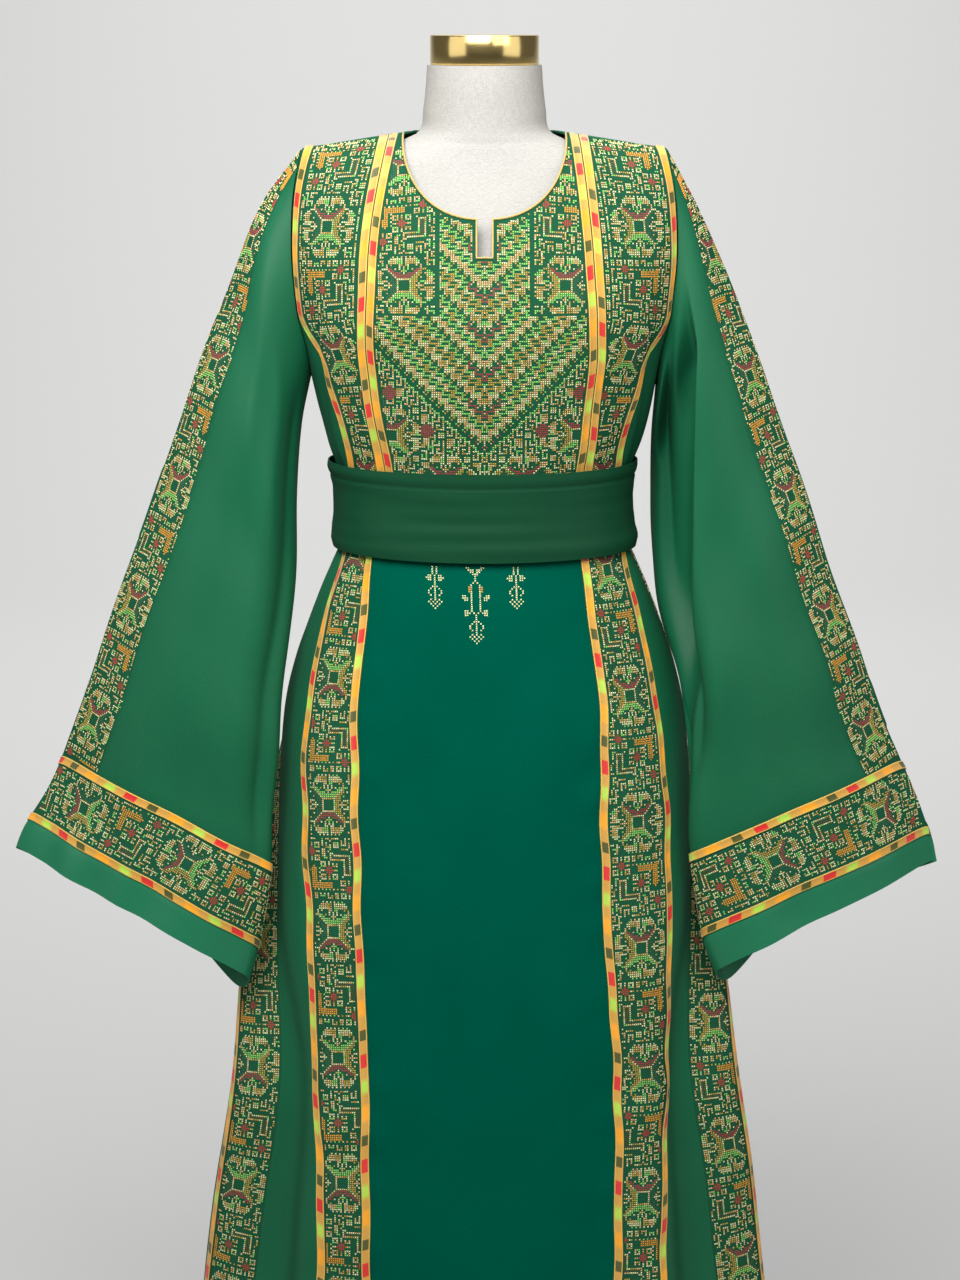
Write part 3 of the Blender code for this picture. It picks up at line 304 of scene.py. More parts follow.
def skirt_fold(turn, height):
    """How far the skirt stands out of its plain section: long folds, and soft gathers under the belt."""
    total, front = 0.0, read(SKIRT, "front_depth", height)
    for side, sign in SIDES.items():
        edge_x = read(SKIRT_SEAMS, "outer_" + side, height)
        edge = np.degrees(np.arctan2(edge_x, SKIRT_EDGE_DEPTH * front))
        seam = read(SKIRT_SEAMS, "side_" + side, height)
        here = 0.0
        for from_turn, folds in ((edge, (FRONT_FOLD,)), (seam, SIDE_FOLDS)):
            for offset, deep, wide, starts in folds:
                grown = deep * (1 - smooth_between(FOLDS_FULL_UNDER, starts, height))
                here = here + grown * hill(np.abs(turn) - from_turn - offset, wide)
        total = total + np.where((turn >= 0) == (sign > 0), here, 0)
    return total + skirt_crease(turn, height, front)


def skirt_crease(turn, height, front):
    """Small creases: ease under the belt, puckers beside the heavy bands, and soft unevenness."""
    around = np.radians(turn) * 0.2
    gathers = 0.0011 * np.sin(np.radians(np.abs(turn)) * 21 + 2.4 * np.sin(np.radians(turn) * 3))
    total = gathers * smooth_between(0.90, 1.03, height) * smooth_between(38, 60, np.abs(turn))
    total = total + 0.0013 * ripple(around, height * 0.35, 0.10, 21) * (1 - smooth_between(0.85, 1.0, height))
    for side, sign in SIDES.items():
        for name in ("inner_", "outer_"):
            edge = np.degrees(np.arctan2(read(SKIRT_SEAMS, name + side, height), front)) * sign
            pucker = 0.0011 * ripple(height, 0.0, 0.048, 31 + sign) * hill(turn - edge, 3.2)
            total = total + pucker * (1 - smooth_between(0.98, 1.04, height))
    return total


def skirt_point(turn, height):
    """Skirt: turn in degrees from centre front to the wearer's left, and height above the floor."""
    turn, height = np.broadcast_arrays(np.asarray(turn, float), np.asarray(height, float))
    turn = turned_about(turn)
    angle = np.radians(turn)
    depth = read_either(np.abs(turn) <= 90, SKIRT, "front_depth", "back_depth", height)
    power = SKIRT_ROUNDING + (2 - SKIRT_ROUNDING) * smooth_between(0.80, 1.03, height)
    wide, deep = np.abs(np.sin(angle)) / read(SKIRT, "half_width", height), np.abs(np.cos(angle)) / depth
    reach = (wide**power + deep**power) ** (-1 / power) + skirt_fold(turn, height)
    return np.stack([reach * np.sin(angle), -reach * np.cos(angle), height], -1)


def skirt_turn(x, sign, height):
    """Turn at a distance from the centre, on the wearer's left or, with sign -1, right."""
    zero = np.zeros_like(height)
    return halved(zero, zero + 88.0, lambda at: np.abs(skirt_point(sign * at, height)[..., 0]) < x)


def band_start(sign, height, side_turn):
    """The turn that lies a band's width in front of the side band's outer seam."""
    back = np.arange(0, 60, 0.5)
    walked = lengths(skirt_point(sign * (side_turn[:, None] - back), height[:, None]), 1)
    return np.array([t - np.interp(BAND, w, back) for t, w in zip(side_turn, walked)])


print("centre front of the hem:", skirt_point(0, 0.02).round(4))

# %% [markdown]
# A sleeve is a wide tube that lies flat, one edge along the top of the arm and one under it. Each of its
# sections is given by those two edges and by how far it bulges to the front and the back. Stations run
# from 0 at the armhole to 1 at the cuff. The left sleeve's lower edge is turned back behind its front.

# %% The sleeves' sections and folds
SLEEVE_COLUMNS = "station ridge_x ridge_y ridge_z under_x under_y under_z front back"
SLEEVES = {
    "right": table(
        SLEEVE_COLUMNS,
        (0.00, 0.1740, 0.000, 1.4375, 0.1690, 0.000, 1.2220, 0.046, 0.046),
        (0.10, 0.2147, -0.003, 1.3835, 0.1779, -0.004, 1.1760, 0.050, 0.049),
        (0.25, 0.2511, -0.006, 1.2980, 0.1827, -0.012, 1.1055, 0.052, 0.048),
        (0.45, 0.2957, -0.010, 1.1798, 0.1843, -0.036, 1.0125, 0.050, 0.042),
        (0.70, 0.3510, -0.015, 1.0290, 0.1985, -0.070, 0.8984, 0.046, 0.035),
        (1.00, 0.4183, -0.020, 0.8441, 0.2067, -0.092, 0.7562, 0.040, 0.030),
        (1.12, 0.4508, -0.022, 0.7780, 0.2203, -0.097, 0.6723, 0.038, 0.029),
        (1.18, 0.4607, -0.022, 0.7480, 0.2283, -0.100, 0.6420, 0.038, 0.030),
    ),
    "left": table(
        SLEEVE_COLUMNS,
        (0.00, 0.1740, 0.000, 1.4375, 0.1675, 0.000, 1.2220, 0.046, 0.046),
        (0.10, 0.2067, -0.003, 1.3780, 0.1635, -0.004, 1.1680, 0.050, 0.049),
        (0.25, 0.2447, -0.006, 1.2931, 0.1651, -0.012, 1.0960, 0.052, 0.048),
        (0.45, 0.2895, -0.010, 1.1747, 0.1685, -0.036, 1.0046, 0.050, 0.042),
        (0.70, 0.3428, -0.015, 1.0231, 0.1955, -0.070, 0.9005, 0.046, 0.035),
        (1.00, 0.4135, -0.020, 0.8390, 0.1995, -0.092, 0.7663, 0.040, 0.030),
        (1.12, 0.4443, -0.022, 0.7646, 0.2133, -0.097, 0.6836, 0.038, 0.029),
        (1.18, 0.4520, -0.022, 0.7387, 0.2263, -0.100, 0.6498, 0.038, 0.030),
    ),
}
# Sleeve folds: turn at the first and last station, how far it stands out, spread, first and last station.
SLEEVE_FOLDS = {
    "right": (
        (118.0, 128.0, 0.0040, 13.0, 0.05, 1.30),
        (146.0, 154.0, -0.0080, 11.0, 0.02, 1.10),
        (92.0, 98.0, -0.0035, 14.0, 0.30, 1.30),
        (222.0, 226.0, -0.0060, 13.0, 0.05, 1.30),
        (262.0, 268.0, 0.0045, 16.0, 0.20, 1.30),
        (306.0, 304.0, -0.0045, 13.0, 0.25, 1.30),
    ),
    "left": (
        (98.0, 136.0, 0.0060, 13.0, 0.02, 0.95),
        (122.0, 164.0, -0.0170, 11.0, 0.00, 0.90),
        (88.0, 96.0, -0.0030, 14.0, 0.40, 1.30),
        (216.0, 230.0, -0.0060, 13.0, 0.05, 1.30),
        (262.0, 262.0, 0.0045, 16.0, 0.20, 1.30),
        (306.0, 300.0, -0.0045, 13.0, 0.25, 1.30),
    ),
}
SLEEVE_FLATNESS, SLEEVE_FRONT_LIFT, SLEEVE_BACK_DIP, HEM_WAVE = 1.2, 0.012, 0.020, 0.0036
TUCK_EDGE, TUCK_BACK, TUCK_OVER = 0.200, 0.048, 0.014  # where the left sleeve turns under, and how far
JOINED_UNTIL = 0.22  # station up to which a sleeve bends to meet the armhole
FOLD_GROWS, FOLD_FADES = 0.15, 0.25  # stations over which a fold deepens and flattens out


# %% The sleeves' surface
def sleeve_point(side, turn, station, plain=False):
    """Sleeve: turn 0 is its outer fold, 90 its front, 180 the underarm. A plain one isn't joined on."""
    turn, station = np.broadcast_arrays(np.asarray(turn, float), np.asarray(station, float))
    sign, sizes = SIDES[side], SLEEVES[side]
    ridge, under = (
        np.stack([read(sizes, edge + axis, station) for axis in "xyz"], -1) * (sign, 1, 1)
        for edge in ("ridge_", "under_")
    )
    bend = turn % 360
    angle = np.radians(bend)[..., None]
    along, across = (ridge - under) / 2, np.array([0.0, -1.0, 0.0])
    depth = read_either(bend <= 180, sizes, "front", "back", station)[..., None]
    fold = sleeve_fold(side, turn, station)[..., None]
    flat = 1 + SLEEVE_FLATNESS * (1 - smooth_between(0, 120, np.abs(turned_about(bend))[..., None]))
    share = np.sign(np.sin(angle)) * np.abs(np.sin(angle)) ** flat
    out = unit(unit(along) * np.cos(angle) + across * np.sin(angle))
    point = (ridge + under) / 2 + along * np.cos(angle) + across * depth * share + out * fold
    if side == "left":
        point += tuck(ridge[..., 0], under[..., 0], bend, station)
    lift = SLEEVE_FRONT_LIFT * smooth_between(0.3, 1.0, station) * np.maximum(np.sin(angle[..., 0]), 0)
    dip = SLEEVE_BACK_DIP * smooth_between(0.9, 1.18, station) * hill(bend - 207, 20)
    point[..., 2] += lift - dip
    if not plain:
        at_turn, level = armhole(bend)
        moved = bodice_point(sign * at_turn, level) - sleeve_point(side, turn, 0.0 * station, plain=True)
        point = point + moved * (1 - smooth_between(0.0, JOINED_UNTIL, station))[..., None]
    return point


def unit(ways):
    """Directions of length 1."""
    return ways / np.linalg.norm(ways, axis=-1, keepdims=True)


def tuck(ridge_x, under_x, bend, station):
    """How far the left sleeve's cloth is moved, past the line where it turns back behind its front."""
    middle, half = (ridge_x + under_x) / 2, (ridge_x - under_x) / 2
    past = bend - np.degrees(np.arccos(np.clip((TUCK_EDGE - middle) / half, -0.99, 0.2)))
    grown = smooth_between(0.04, 0.22, station) * (1 - smooth_between(0.40, 1.00, station))
    back = TUCK_BACK * smooth_between(0, 16, past) * (1 - smooth_between(200, 268, bend)) * grown
    return np.stack([TUCK_OVER * hill(past - 12, 7) * grown, back, 0 * back], -1)


def sleeve_fold(side, turn, station):
    """How far a sleeve stands out of its section: its folds, soft unevenness, a drag line, a wavy hem."""
    seed, bend = 41 + SIDES[side], turn % 360
    cosine, sine = np.cos(np.radians(bend)), np.sin(np.radians(bend))
    soft = 0.0016 * ripple(cosine * 0.11 + sine * 0.07, station * 0.62, 0.19, seed)
    drag = 0.0022 * hill(bend - (70 + 60 * station), 9) * hill(station - 0.28, 0.16)
    shown = smooth_between(0.06, 0.30, station) * (1 - 0.5 * smooth_between(0.95, 1.05, station))
    hem = HEM_WAVE * ripple(cosine * 0.30 + sine * 0.02, 0.0, 0.15, seed + 5)
    fold = (soft + drag) * shown + hem * smooth_between(1.05, 1.18, station)
    for first_turn, last_turn, deep, wide, first, last in SLEEVE_FOLDS[side]:
        middle = first_turn + (last_turn - first_turn) * np.clip((station - first) / (last - first), 0, 1)
        grown = smooth_between(first, first + FOLD_GROWS, station)
        grown = grown * (1 - smooth_between(last - FOLD_FADES, last, station))
        fold = fold + deep * grown * hill(turned_about(bend - middle), wide)
    return fold


print("the right cuff's outer end:", sleeve_point("right", 0, 1).round(4))

# %% [markdown]
# ## From a surface to cloth
# A piece of cloth starts as a flat grid, like the cut piece on the table. Each of its vertices is then
# moved to its place on the surface, and a Solidify modifier gives it its thickness, inwards. The grid
# keeps a UV map in metres, so a weave or a stitched chart has the same size on every piece.

# %% Panels of cloth
made = {}


def lengths(points, axis):
    """Distance walked along each line of a grid of points, starting at 0."""
    steps = np.linalg.norm(np.diff(points, axis=axis), axis=-1)
    return np.concatenate([np.zeros_like(np.take(steps, [0], axis)), steps.cumsum(axis)], axis)


def normals(points, outward=1):
    """Directions out of a grid of points."""
    out = np.cross(np.gradient(points, axis=1), np.gradient(points, axis=0)) * outward
    return out / np.maximum(np.linalg.norm(out, axis=-1, keepdims=True), 1e-12)


def flat_map(points):
    """The grid laid flat, in metres: across from each row's middle, and up along the columns."""
    across = lengths(points, 1)
    up = lengths(points, 0).mean(axis=1)
    return np.stack([across - across[:, -1:] / 2, np.broadcast_to(up[:, None], across.shape)], -1)


def grid_cloth(name, points, look, outward=1, thick=CLOTH, flat=None, left_out=None):
    """An object of cloth from a grid of points, one row of the grid after another."""
    rows, columns = points.shape[:2]
    flat = flat_map(points) if flat is None else flat
    bm = bmesh.new()
    uv = bm.loops.layers.uv.new("flat")
    bmesh.ops.create_grid(bm, x_segments=columns - 1, y_segments=rows - 1, size=0.5)
    place = {}
    for vertex in bm.verts:
        row, column = round((vertex.co.y + 0.5) * (rows - 1)), round((vertex.co.x + 0.5) * (columns - 1))
        place[vertex] = row, column
        vertex.co = points[row, column]
    for face in bm.faces:
        for loop in face.loops:
            loop[uv].uv = flat[place[loop.vert]]
    if left_out:
        corner = {face: min(place[vertex] for vertex in face.verts) for face in bm.faces}
        gone = [face for face in bm.faces if left_out(*corner[face])]
        bmesh.ops.delete(bm, geom=gone, context="FACES")
    bmesh.ops.remove_doubles(bm, verts=bm.verts, dist=1e-6)
    if outward < 0:
        bmesh.ops.reverse_faces(bm, faces=bm.faces)
    for edge in bm.edges:
        edge.smooth = not edge.is_boundary
    piece = as_object(name, bm, look)
    if thick:
        wall = piece.modifiers.new("thickness", "SOLIDIFY")
        wall.thickness, wall.offset, wall.use_even_offset = thick, -1, False
    return piece


def as_object(name, bm, look, ride=True):
    """Makes an object of a bmesh, smooth shaded, that rides on the dress's one body."""
    mesh = bpy.data.meshes.new(name)
    bm.to_mesh(mesh)
    bm.free()
    mesh.polygons.foreach_set("use_smooth", [True] * len(mesh.polygons))
    mesh.materials.append(look)
    return placed(name, mesh, ride)


def placed(name, mesh, ride=True):
    """Puts a finished mesh in the scene, on the dress's one body unless it is part of the room."""
    piece = bpy.data.objects.new(name, mesh)
    bpy.context.scene.collection.objects.link(piece)
    if ride:
        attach(piece, "root")
    return piece


def stands_for(piece, node):
    """Hides the solid whose place a piece takes."""
    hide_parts(node)


def panel(
    node, points, look, slot, outward=1, held="hung", rests_on=("dress_form",), left_out=None, straight=False
):
    """A cut piece of the dress in place of its solid, recorded with the flat size that shows."""
    piece = grid_cloth(node + "_cloth", points, look, outward, left_out=left_out)
    stands_for(piece, node)
    widths = lengths(points[:, [0, -1]] if straight else points, 1)[:, -1]
    width, length = float(widths.max()), float(lengths(points, 0)[-1].mean())
    steps = np.cross(points[1:, :-1] - points[:-1, :-1], points[:-1, 1:] - points[:-1, :-1])
    area = float(np.linalg.norm(steps, axis=-1).sum())
    made[node] = {
        "points": points, "normals": normals(points, outward), "outward": outward,
        "piece": piece, "on_it": [], "cut": (width, length, area), "held": held, "rests_on": rests_on,
    }


def between(first, last, parts):
    """Columns at parts of the way between two seams, each an array of (u, v) up the rows."""
    return [start[:, None] + (end - start)[:, None] * parts for start, end in zip(first, last)]


def shares(count):
    """Places across a panel, closer together at both edges, where a seam rolls the cloth under."""
    return np.sort(np.concatenate([np.linspace(0, 1, count), [0.006, 0.022, 0.978, 0.994]]))


ROLL_DEEP, ROLL_WIDE = 0.0006, 0.0022


def rolled(points, outward, edges=("first", "last")):
    """The cloth's points, pressed in a little beside the seams named in edges."""
    out = normals(points, outward)
    across, up = lengths(points, 1), lengths(points, 0)
    far = {"first": across, "last": across[:, -1:] - across, "bottom": up, "top": up[-1:] - up}
    press = sum(hill(far[edge], ROLL_WIDE) for edge in edges)
    return points - out * (ROLL_DEEP * np.minimum(press, 1))[..., None]


def sewn(node, surface, first, last, count, look, slot, sign=1, **declared):
    """A panel that fills a surface between two seams. With sign -1 it lies on the wearer's right."""
    u, v = between(first, last, shares(count))
    panel(node, rolled(surface(sign * u, v), sign), look, slot, sign, **declared)

# %% [markdown]
# ## Finishes
# Satin is smooth threads that all run one way, so it shines softly and has only a very fine line in it.
# Crepe is duller, with a pebbled face. The cloth under the stitches is an even plain weave. Each is a
# node material: the UV map in metres drives the weave, and slow noise changes the tone a little. A small
# class keeps the nodes short to write, since every finish on the dress is made of a few of them.

# %% A material made of nodes
class Look:
    """A node material. A node's inputs are given by name, each a value or another node's output."""

    def __init__(self, name):
        self.material = bpy.data.materials.new(name)
        self.material.use_nodes = True
        self.tree = self.material.node_tree

    def fill(self, sockets, values):
        """Gives each socket its value, or links it where the value is another node's output."""
        for socket, value in zip(sockets, values):
            if isinstance(value, bpy.types.NodeSocket):
                self.tree.links.new(value, socket)
            else:
                socket.default_value = value

    def shader(self, **inputs):
        """Sets inputs of the main shader."""
        node = self.tree.nodes["Principled BSDF"]
        self.fill([node.inputs[name.replace("_", " ")] for name in inputs], inputs.values())

    def add(self, kind, output, settings=(), **inputs):
        """Adds a node and gives back the output named."""
        node = self.tree.nodes.new("ShaderNode" + kind)
        for setting, value in dict(settings).items():
            setattr(node, setting, value)
        self.fill([node.inputs[name.replace("_", " ")] for name in inputs], inputs.values())
        return node.outputs[output]

    def maths(self, operation, *values):
        """Adds a node for one sum."""
        node = self.tree.nodes.new("ShaderNodeMath")
        node.operation = operation
        self.fill(node.inputs, values)
        return node.outputs["Value"]

    def ramp(self, place, *stops):
        """Adds a colour ramp with stops of (position, colour), in order."""
        node = self.tree.nodes.new("ShaderNodeValToRGB")
        first, last = node.color_ramp.elements
        first.position, last.position = stops[0][0], stops[-1][0]
        first.color, last.color = (*stops[0][1], 1), (*stops[-1][1], 1)
        for position, colour in stops[1:-1]:
            node.color_ramp.elements.new(position).color = (*colour, 1)
        self.fill([node.inputs["Fac"]], [place])
        return node.outputs["Color"]

    def mix(self, share, first, second):
        """Adds a mix of two colours."""
        return self.add("Mix", "Result", {"data_type": "RGBA"}, Factor=share, A=first, B=second)

    def noise(self, place, scale, **inputs):
        """Adds noise, read at a place."""
        return self.add("TexNoise", "Fac", Vector=place, Scale=scale, **inputs)

    def waves(self, way, scale, place, **inputs):
        """Adds even stripes that run across one direction."""
        return self.add("TexWave", "Fac", {"bands_direction": way}, Vector=place, Scale=scale, **inputs)

    def relief(self, height, strength, distance):
        """Fine relief in the shader's normal."""
        self.shader(Normal=self.add("Bump", "Normal", Strength=strength, Distance=distance, Height=height))


# %% Satin, crepe and ground cloth
WAVE_SCALE = math.pi / 20  # for threads and the gaps between them, counted apart, to the metre


def cloth_look(name, colour, deep_colour, roughness, weave, bump, shine):
    """Cloth: two close tones, in soft patches and a fine grain, and a weave with a count each way.

    Cloth seen edge-on shows the hollows between its threads, so it is duller there.
    """
    look = Look(name)
    ends = {"From_Min": 0.35, "From_Max": 0.85, "To_Min": roughness, "To_Max": 1.0}
    dull = look.add("MapRange", "Result", Value=look.add("LayerWeight", "Facing"), **ends)
    flat = look.add("UVMap", "UV", {"uv_map": "flat"})
    patches, grain = look.noise(flat, 9, Detail=5), look.noise(flat, 620, Detail=1)
    tone = look.maths("ADD", patches, look.maths("ADD", grain, -0.5))
    colour = look.mix(tone, (*deep_colour, 1), (*colour, 1))
    threads = [look.waves(way, count * WAVE_SCALE, flat, Distortion=0.6) for way, count in zip("XY", weave)]
    look.shader(Specular_IOR_Level=shine, Roughness=dull, Base_Color=colour)
    look.relief(look.maths("MAXIMUM", *threads), bump, 0.0003)
    return look.material


# Each look's name, light and deep colour, roughness, weave, relief and shine.
satin_look, hem_painted_sheen_look, belt_look, crepe_look, ground_look = (cloth_look(*row) for row in (
    ("satin", (0.009, 0.120, 0.053), (0.005, 0.082, 0.035), 0.42, (2400, 600), 0.12, 0.17),
    # The hem's satin has a crossed weave and more shine. Its colours, lighter than the satin's, are painted
    # sheen.
    ("cross_satin", (0.014, 0.170, 0.080), (0.008, 0.125, 0.056), 0.36, (600, 2400), 0.12, 0.34),
    ("belt_satin", (0.006, 0.061, 0.026), (0.005, 0.048, 0.020), 0.46, (2400, 600), 0.12, 0.12),
    ("crepe", (0.000, 0.086, 0.052), (0.000, 0.066, 0.039), 0.75, (1500, 1500), 0.25, 0.0),
    ("ground", (0.010, 0.096, 0.050), (0.014, 0.060, 0.024), 0.78, (980, 980), 0.45, 0.02),
))
print("cloths:", [look.name for look in (satin_look, hem_painted_sheen_look, belt_look, crepe_look, ground_look)])

# %% [markdown]
# ## The bodice
# The front has three embroidered panels: the yoke in the middle, with a round neckline and a short slit,
# and one beside each armhole. Under the arms and at the back the cloth is plain satin. The yoke is one
# grid whose rows bend up to the neckline, so the opening's edge is smooth, and the slit is a strip of
# cells left out.

# %% The neckline and the slit
NECK_SQUARENESS = 0.85  # 1 would be a half ellipse
SLIT_HALF, SLIT_LEVEL = 0.0075, 0.700


def neckline_z(x):
    """Height of the front neckline at a distance from the centre."""
    top = SHOULDER_Z + NECK_RISE * (1 - NECK_HALF / BODICE["rows"][-1][1])
    across = np.minimum(1.0, (np.abs(x) / NECK_HALF) ** (1 / NECK_SQUARENESS))
    return top - NECK_DROP * np.sin(np.arccos(across))


def neck_columns(steps, clear):
    """Distances from the centre, from the neck's side to the slit, closer together at the side."""
    x = NECK_HALF * np.cos(np.radians(np.linspace(0, 90, steps)[:-1])) ** NECK_SQUARENESS
    return np.concatenate([x[x > SLIT_HALF + clear], [SLIT_HALF]])


def level_at(x, z):
    """Level on the bodice's front at a distance from the centre and a height."""
    zero = np.zeros_like(z)
    return halved(zero + 0.4, zero + 1.0, lambda at: bodice_point(bodice_turn(x, at), at)[..., 2] < z)


print("the neckline's lowest point is", round(float(neckline_z(0)), 4), "m up")


# %% The yoke
to_seam = np.array([1.0, 0.985, 0.9, 0.7, 0.45, 0.2])  # columns outside the neck, in shares of the way
in_neck = neck_columns(19, clear=0.002)
half_x, half_out = np.concatenate([0 * to_seam, in_neck]), np.concatenate([to_seam, 0 * in_neck])
yoke_x, yoke_out = np.concatenate([-half_x, half_x[::-1]]), np.concatenate([-half_out, half_out[::-1]])
top_level = np.where(yoke_x == 0, 1.0, level_at(np.abs(yoke_x), neckline_z(yoke_x)))
lower, upper = np.linspace(0, 1, 37)[:, None], np.linspace(0, 1, 22)[1:, None]
yoke_level = np.concatenate([SLIT_LEVEL * lower + 0 * yoke_x, SLIT_LEVEL + upper * (top_level - SLIT_LEVEL)])
yoke_seam = read_either(yoke_out > 0, BODICE_SEAMS, "yoke_left", "yoke_right", yoke_level)
outer_x = np.sign(yoke_out) * (NECK_HALF + (yoke_seam - NECK_HALF) * np.abs(yoke_out))
yoke_turn = bodice_turn(np.where(yoke_out == 0, yoke_x, outer_x), yoke_level)
slit_column, slit_row = len(half_x) - 1, len(lower) - 1
panel(
    "front_yoke", rolled(bodice_point(yoke_turn, yoke_level), 1), ground_look, "embroidered_cloth",
    straight=True, left_out=lambda row, column: row >= slit_row and column == slit_column,
)
print("the yoke's grid is", yoke_level.shape, "points")

# %% [markdown]
# The side panels run up to the armhole, which is a turn round the arm rather than a height. The side
# seam meets it a third of the way up, so the panel's rows follow the seam first and the armhole after.

# %% Front sides and under the arms
ROWS, LOWER_ROWS = 13, 6  # sections up a panel, and those up to where the side seam meets the armhole
UNDER_ARM = (115.0, 132.0, 150.0, 166.0, 180.0)  # turns round the armhole, from the front to the armpit
seam_top_turn, seam_top_level = (float(v) for v in armhole(UNDER_ARM[0]))


def side_seam(row):
    """(turn, level) of the front's outer edge: the side seam in the lower rows, then the armhole."""
    low = seam_top_level * np.minimum(row, LOWER_ROWS) / LOWER_ROWS
    on_seam = bodice_turn(read(BODICE_SEAMS, "side", low), low)
    end = bodice_turn(read(BODICE_SEAMS, "side", seam_top_level), seam_top_level)
    on_seam = on_seam + (seam_top_turn - end) * smooth_between(4.3, LOWER_ROWS, row)
    hole = armhole(UNDER_ARM[0] * (ROWS - np.maximum(row, LOWER_ROWS)) / (ROWS - LOWER_ROWS))
    return np.where(row <= LOWER_ROWS, on_seam, hole[0]), np.where(row <= LOWER_ROWS, low, hole[1])


def under_arm_place(row, across):
    """(turn, level) under the arm: across is 0 at the front's seam and 4 at the back's."""
    front_turn, front_level = side_seam(row)
    hole_turn, hole_level = armhole(np.interp(np.maximum(across, 1), range(5), UNDER_ARM))
    up, part = row / LOWER_ROWS, np.minimum(across, 1)
    low_turn = front_turn + (90 - front_turn) * np.maximum(across, 1) / 4
    turn = low_turn + (hole_turn - low_turn) * up**2
    return front_turn + (turn - front_turn) * part, front_level + (hole_level * up - front_level) * part


edge = side_seam(np.linspace(0, ROWS, 62))
for side, sign in SIDES.items():
    inner = (bodice_turn(read(BODICE_SEAMS, "yoke_" + side, edge[1]), edge[1]), edge[1])
    sewn("bodice_front_" + side, bodice_point, inner, edge, 16, ground_look, "embroidered_cloth", sign)
    columns = np.concatenate([[0, 0.05], np.linspace(0, 4, 13)[1:]])
    turn, level = under_arm_place(np.linspace(0, LOWER_ROWS, 30)[:, None], columns)
    panel("bodice_side_" + side, rolled(bodice_point(sign * turn, level), sign), satin_look, "satin", sign)

# %% [markdown]
# The back is one piece. Its edge is the side seam, then the armhole up to the shoulder, and its top dips
# to the nape of the neck. One half is worked out, and the other half mirrors it.

# %% The back of the bodice
BACK_TURNS = (180.0, 206.0, 232.0, 257.0, 282.0, 308.0, 334.0, 360.0)
BACK_LEVELS = [ARMPIT_LEVEL * i / 6 for i in range(7)] + [0.455, 0.570, 0.690, 0.810, 0.910, 0.972, 1.0]
NAPE_LEVEL = 0.945


def back_place(row, across):
    """(turn, level) on the back: across is 0 at the side, 1 at the neck point, 2 at the centre back."""
    inner_level = np.interp(row, range(ROWS + 1), BACK_LEVELS)
    hole = armhole(np.clip(np.interp(row, range(LOWER_ROWS, ROWS + 1), BACK_TURNS), 180, 359.999))
    at_side = row < LOWER_ROWS
    edge_turn, edge_level = np.where(at_side, 90.0, hole[0]), np.where(at_side, inner_level, hole[1])
    neck_turn = 180 - np.degrees(np.arcsin(NECK_HALF / read(BODICE, "half_width", inner_level)))
    to_neck, past = np.minimum(across, 1), np.maximum(across - 1, 0)
    drop = (1 - NAPE_LEVEL) * np.sin(past * math.pi / 2) * inner_level**4
    turn = edge_turn + (neck_turn - edge_turn) * to_neck + (180 - neck_turn) * past
    return turn, edge_level + (inner_level - edge_level) * to_neck - drop


columns = np.concatenate([[0, 0.012, 0.05], np.linspace(0, 2, 22)[1:]])
turn, level = back_place(np.linspace(0, ROWS, 60)[:, None], columns)
turn, level = np.hstack([turn, 360 - turn[:, -2::-1]]), np.hstack([level, level[:, -2::-1]])
panel("bodice_back", rolled(bodice_point(turn, level), 1), satin_look, "satin")
print("bodice pieces:", list(made))

# %% [markdown]
# ## The skirt
# A matt centre panel, then on each side an embroidered band, a satin gore that folds back, a second
# band that comes forward again, and the satin back. The gore falls into a deep fold because it is cut
# wider than the space that it fills, which the fold's depth in the surface gives.

# %% Skirt panels
heights = np.concatenate([np.linspace(0.020, 0.90, 104), np.linspace(0.90, WAIST_Z, 30)[1:]])
inner_turns = {}
for side, sign in SIDES.items():
    sway = 0.0009 * ripple(heights, 0.0, 0.085, 61 + sign) * smooth_between(0.02, 0.1, heights)
    inner, outer = (
        skirt_turn(read(SKIRT_SEAMS, seam + side, heights) + moved, sign, heights)
        for seam, moved in (("inner_", sway), ("outer_", -sway))
    )
    inner_turns[side] = inner
    side_outer = read(SKIRT_SEAMS, "side_" + side, heights)
    side_inner = band_start(sign, heights, side_outer)
    for node, first, last, count, look, slot in (
        ("skirt_front_band_", inner, outer, 9, ground_look, "embroidered_cloth"),
        ("skirt_gore_", outer, side_inner, 15, satin_look, "satin"),
        ("skirt_side_band_", side_inner, side_outer, 9, ground_look, "embroidered_cloth"),
        ("skirt_back_", side_outer, 180 + 0 * heights, 40, satin_look, "satin"),
    ):
        first, last = (first, heights), (last, heights)
        sewn(node + side, skirt_point, first, last, count, look, slot, sign, rests_on=("dress_form", "belt"))
first, last = (-inner_turns["right"], heights), (inner_turns["left"], heights)
sewn("skirt_front_panel", skirt_point, first, last, 27, crepe_look, "plain_green")
print("skirt pieces:", [name for name in made if name.startswith("skirt")])

# %% [markdown]
# ## The sleeves
# Each sleeve is a flat-lying tube: a band over its outer fold, a satin front, a satin back, a stitched
# cuff, and a satin hem under it. All five are strips of the same surface.

# %% Sleeve panels
SLEEVE_BAND = table(
    "station in_front", (0.00, 0.036), (0.10, 0.042), (0.20, 0.052), (0.30, 0.0580), (1.00, 0.0585),
)


def band_turns(side, station):
    """The two seams of the band on a sleeve: behind its outer fold, and on its front."""
    turns = np.arange(-60, 121, 2.0)
    walked = lengths(sleeve_point(side, turns, station[:, None]), 1)
    walked = walked - walked[:, [31]]  # counted from just past the outer fold
    front = read(SLEEVE_BAND, "in_front", station)
    low = smooth_between(0.0, 0.10, station)
    return [
        np.array([np.interp(f, w, turns) for f, w in zip(edge, walked)]) * low + at_armhole * (1 - low)
        for edge, at_armhole in ((front - BAND, -26.0), (front, 32.0))
    ]


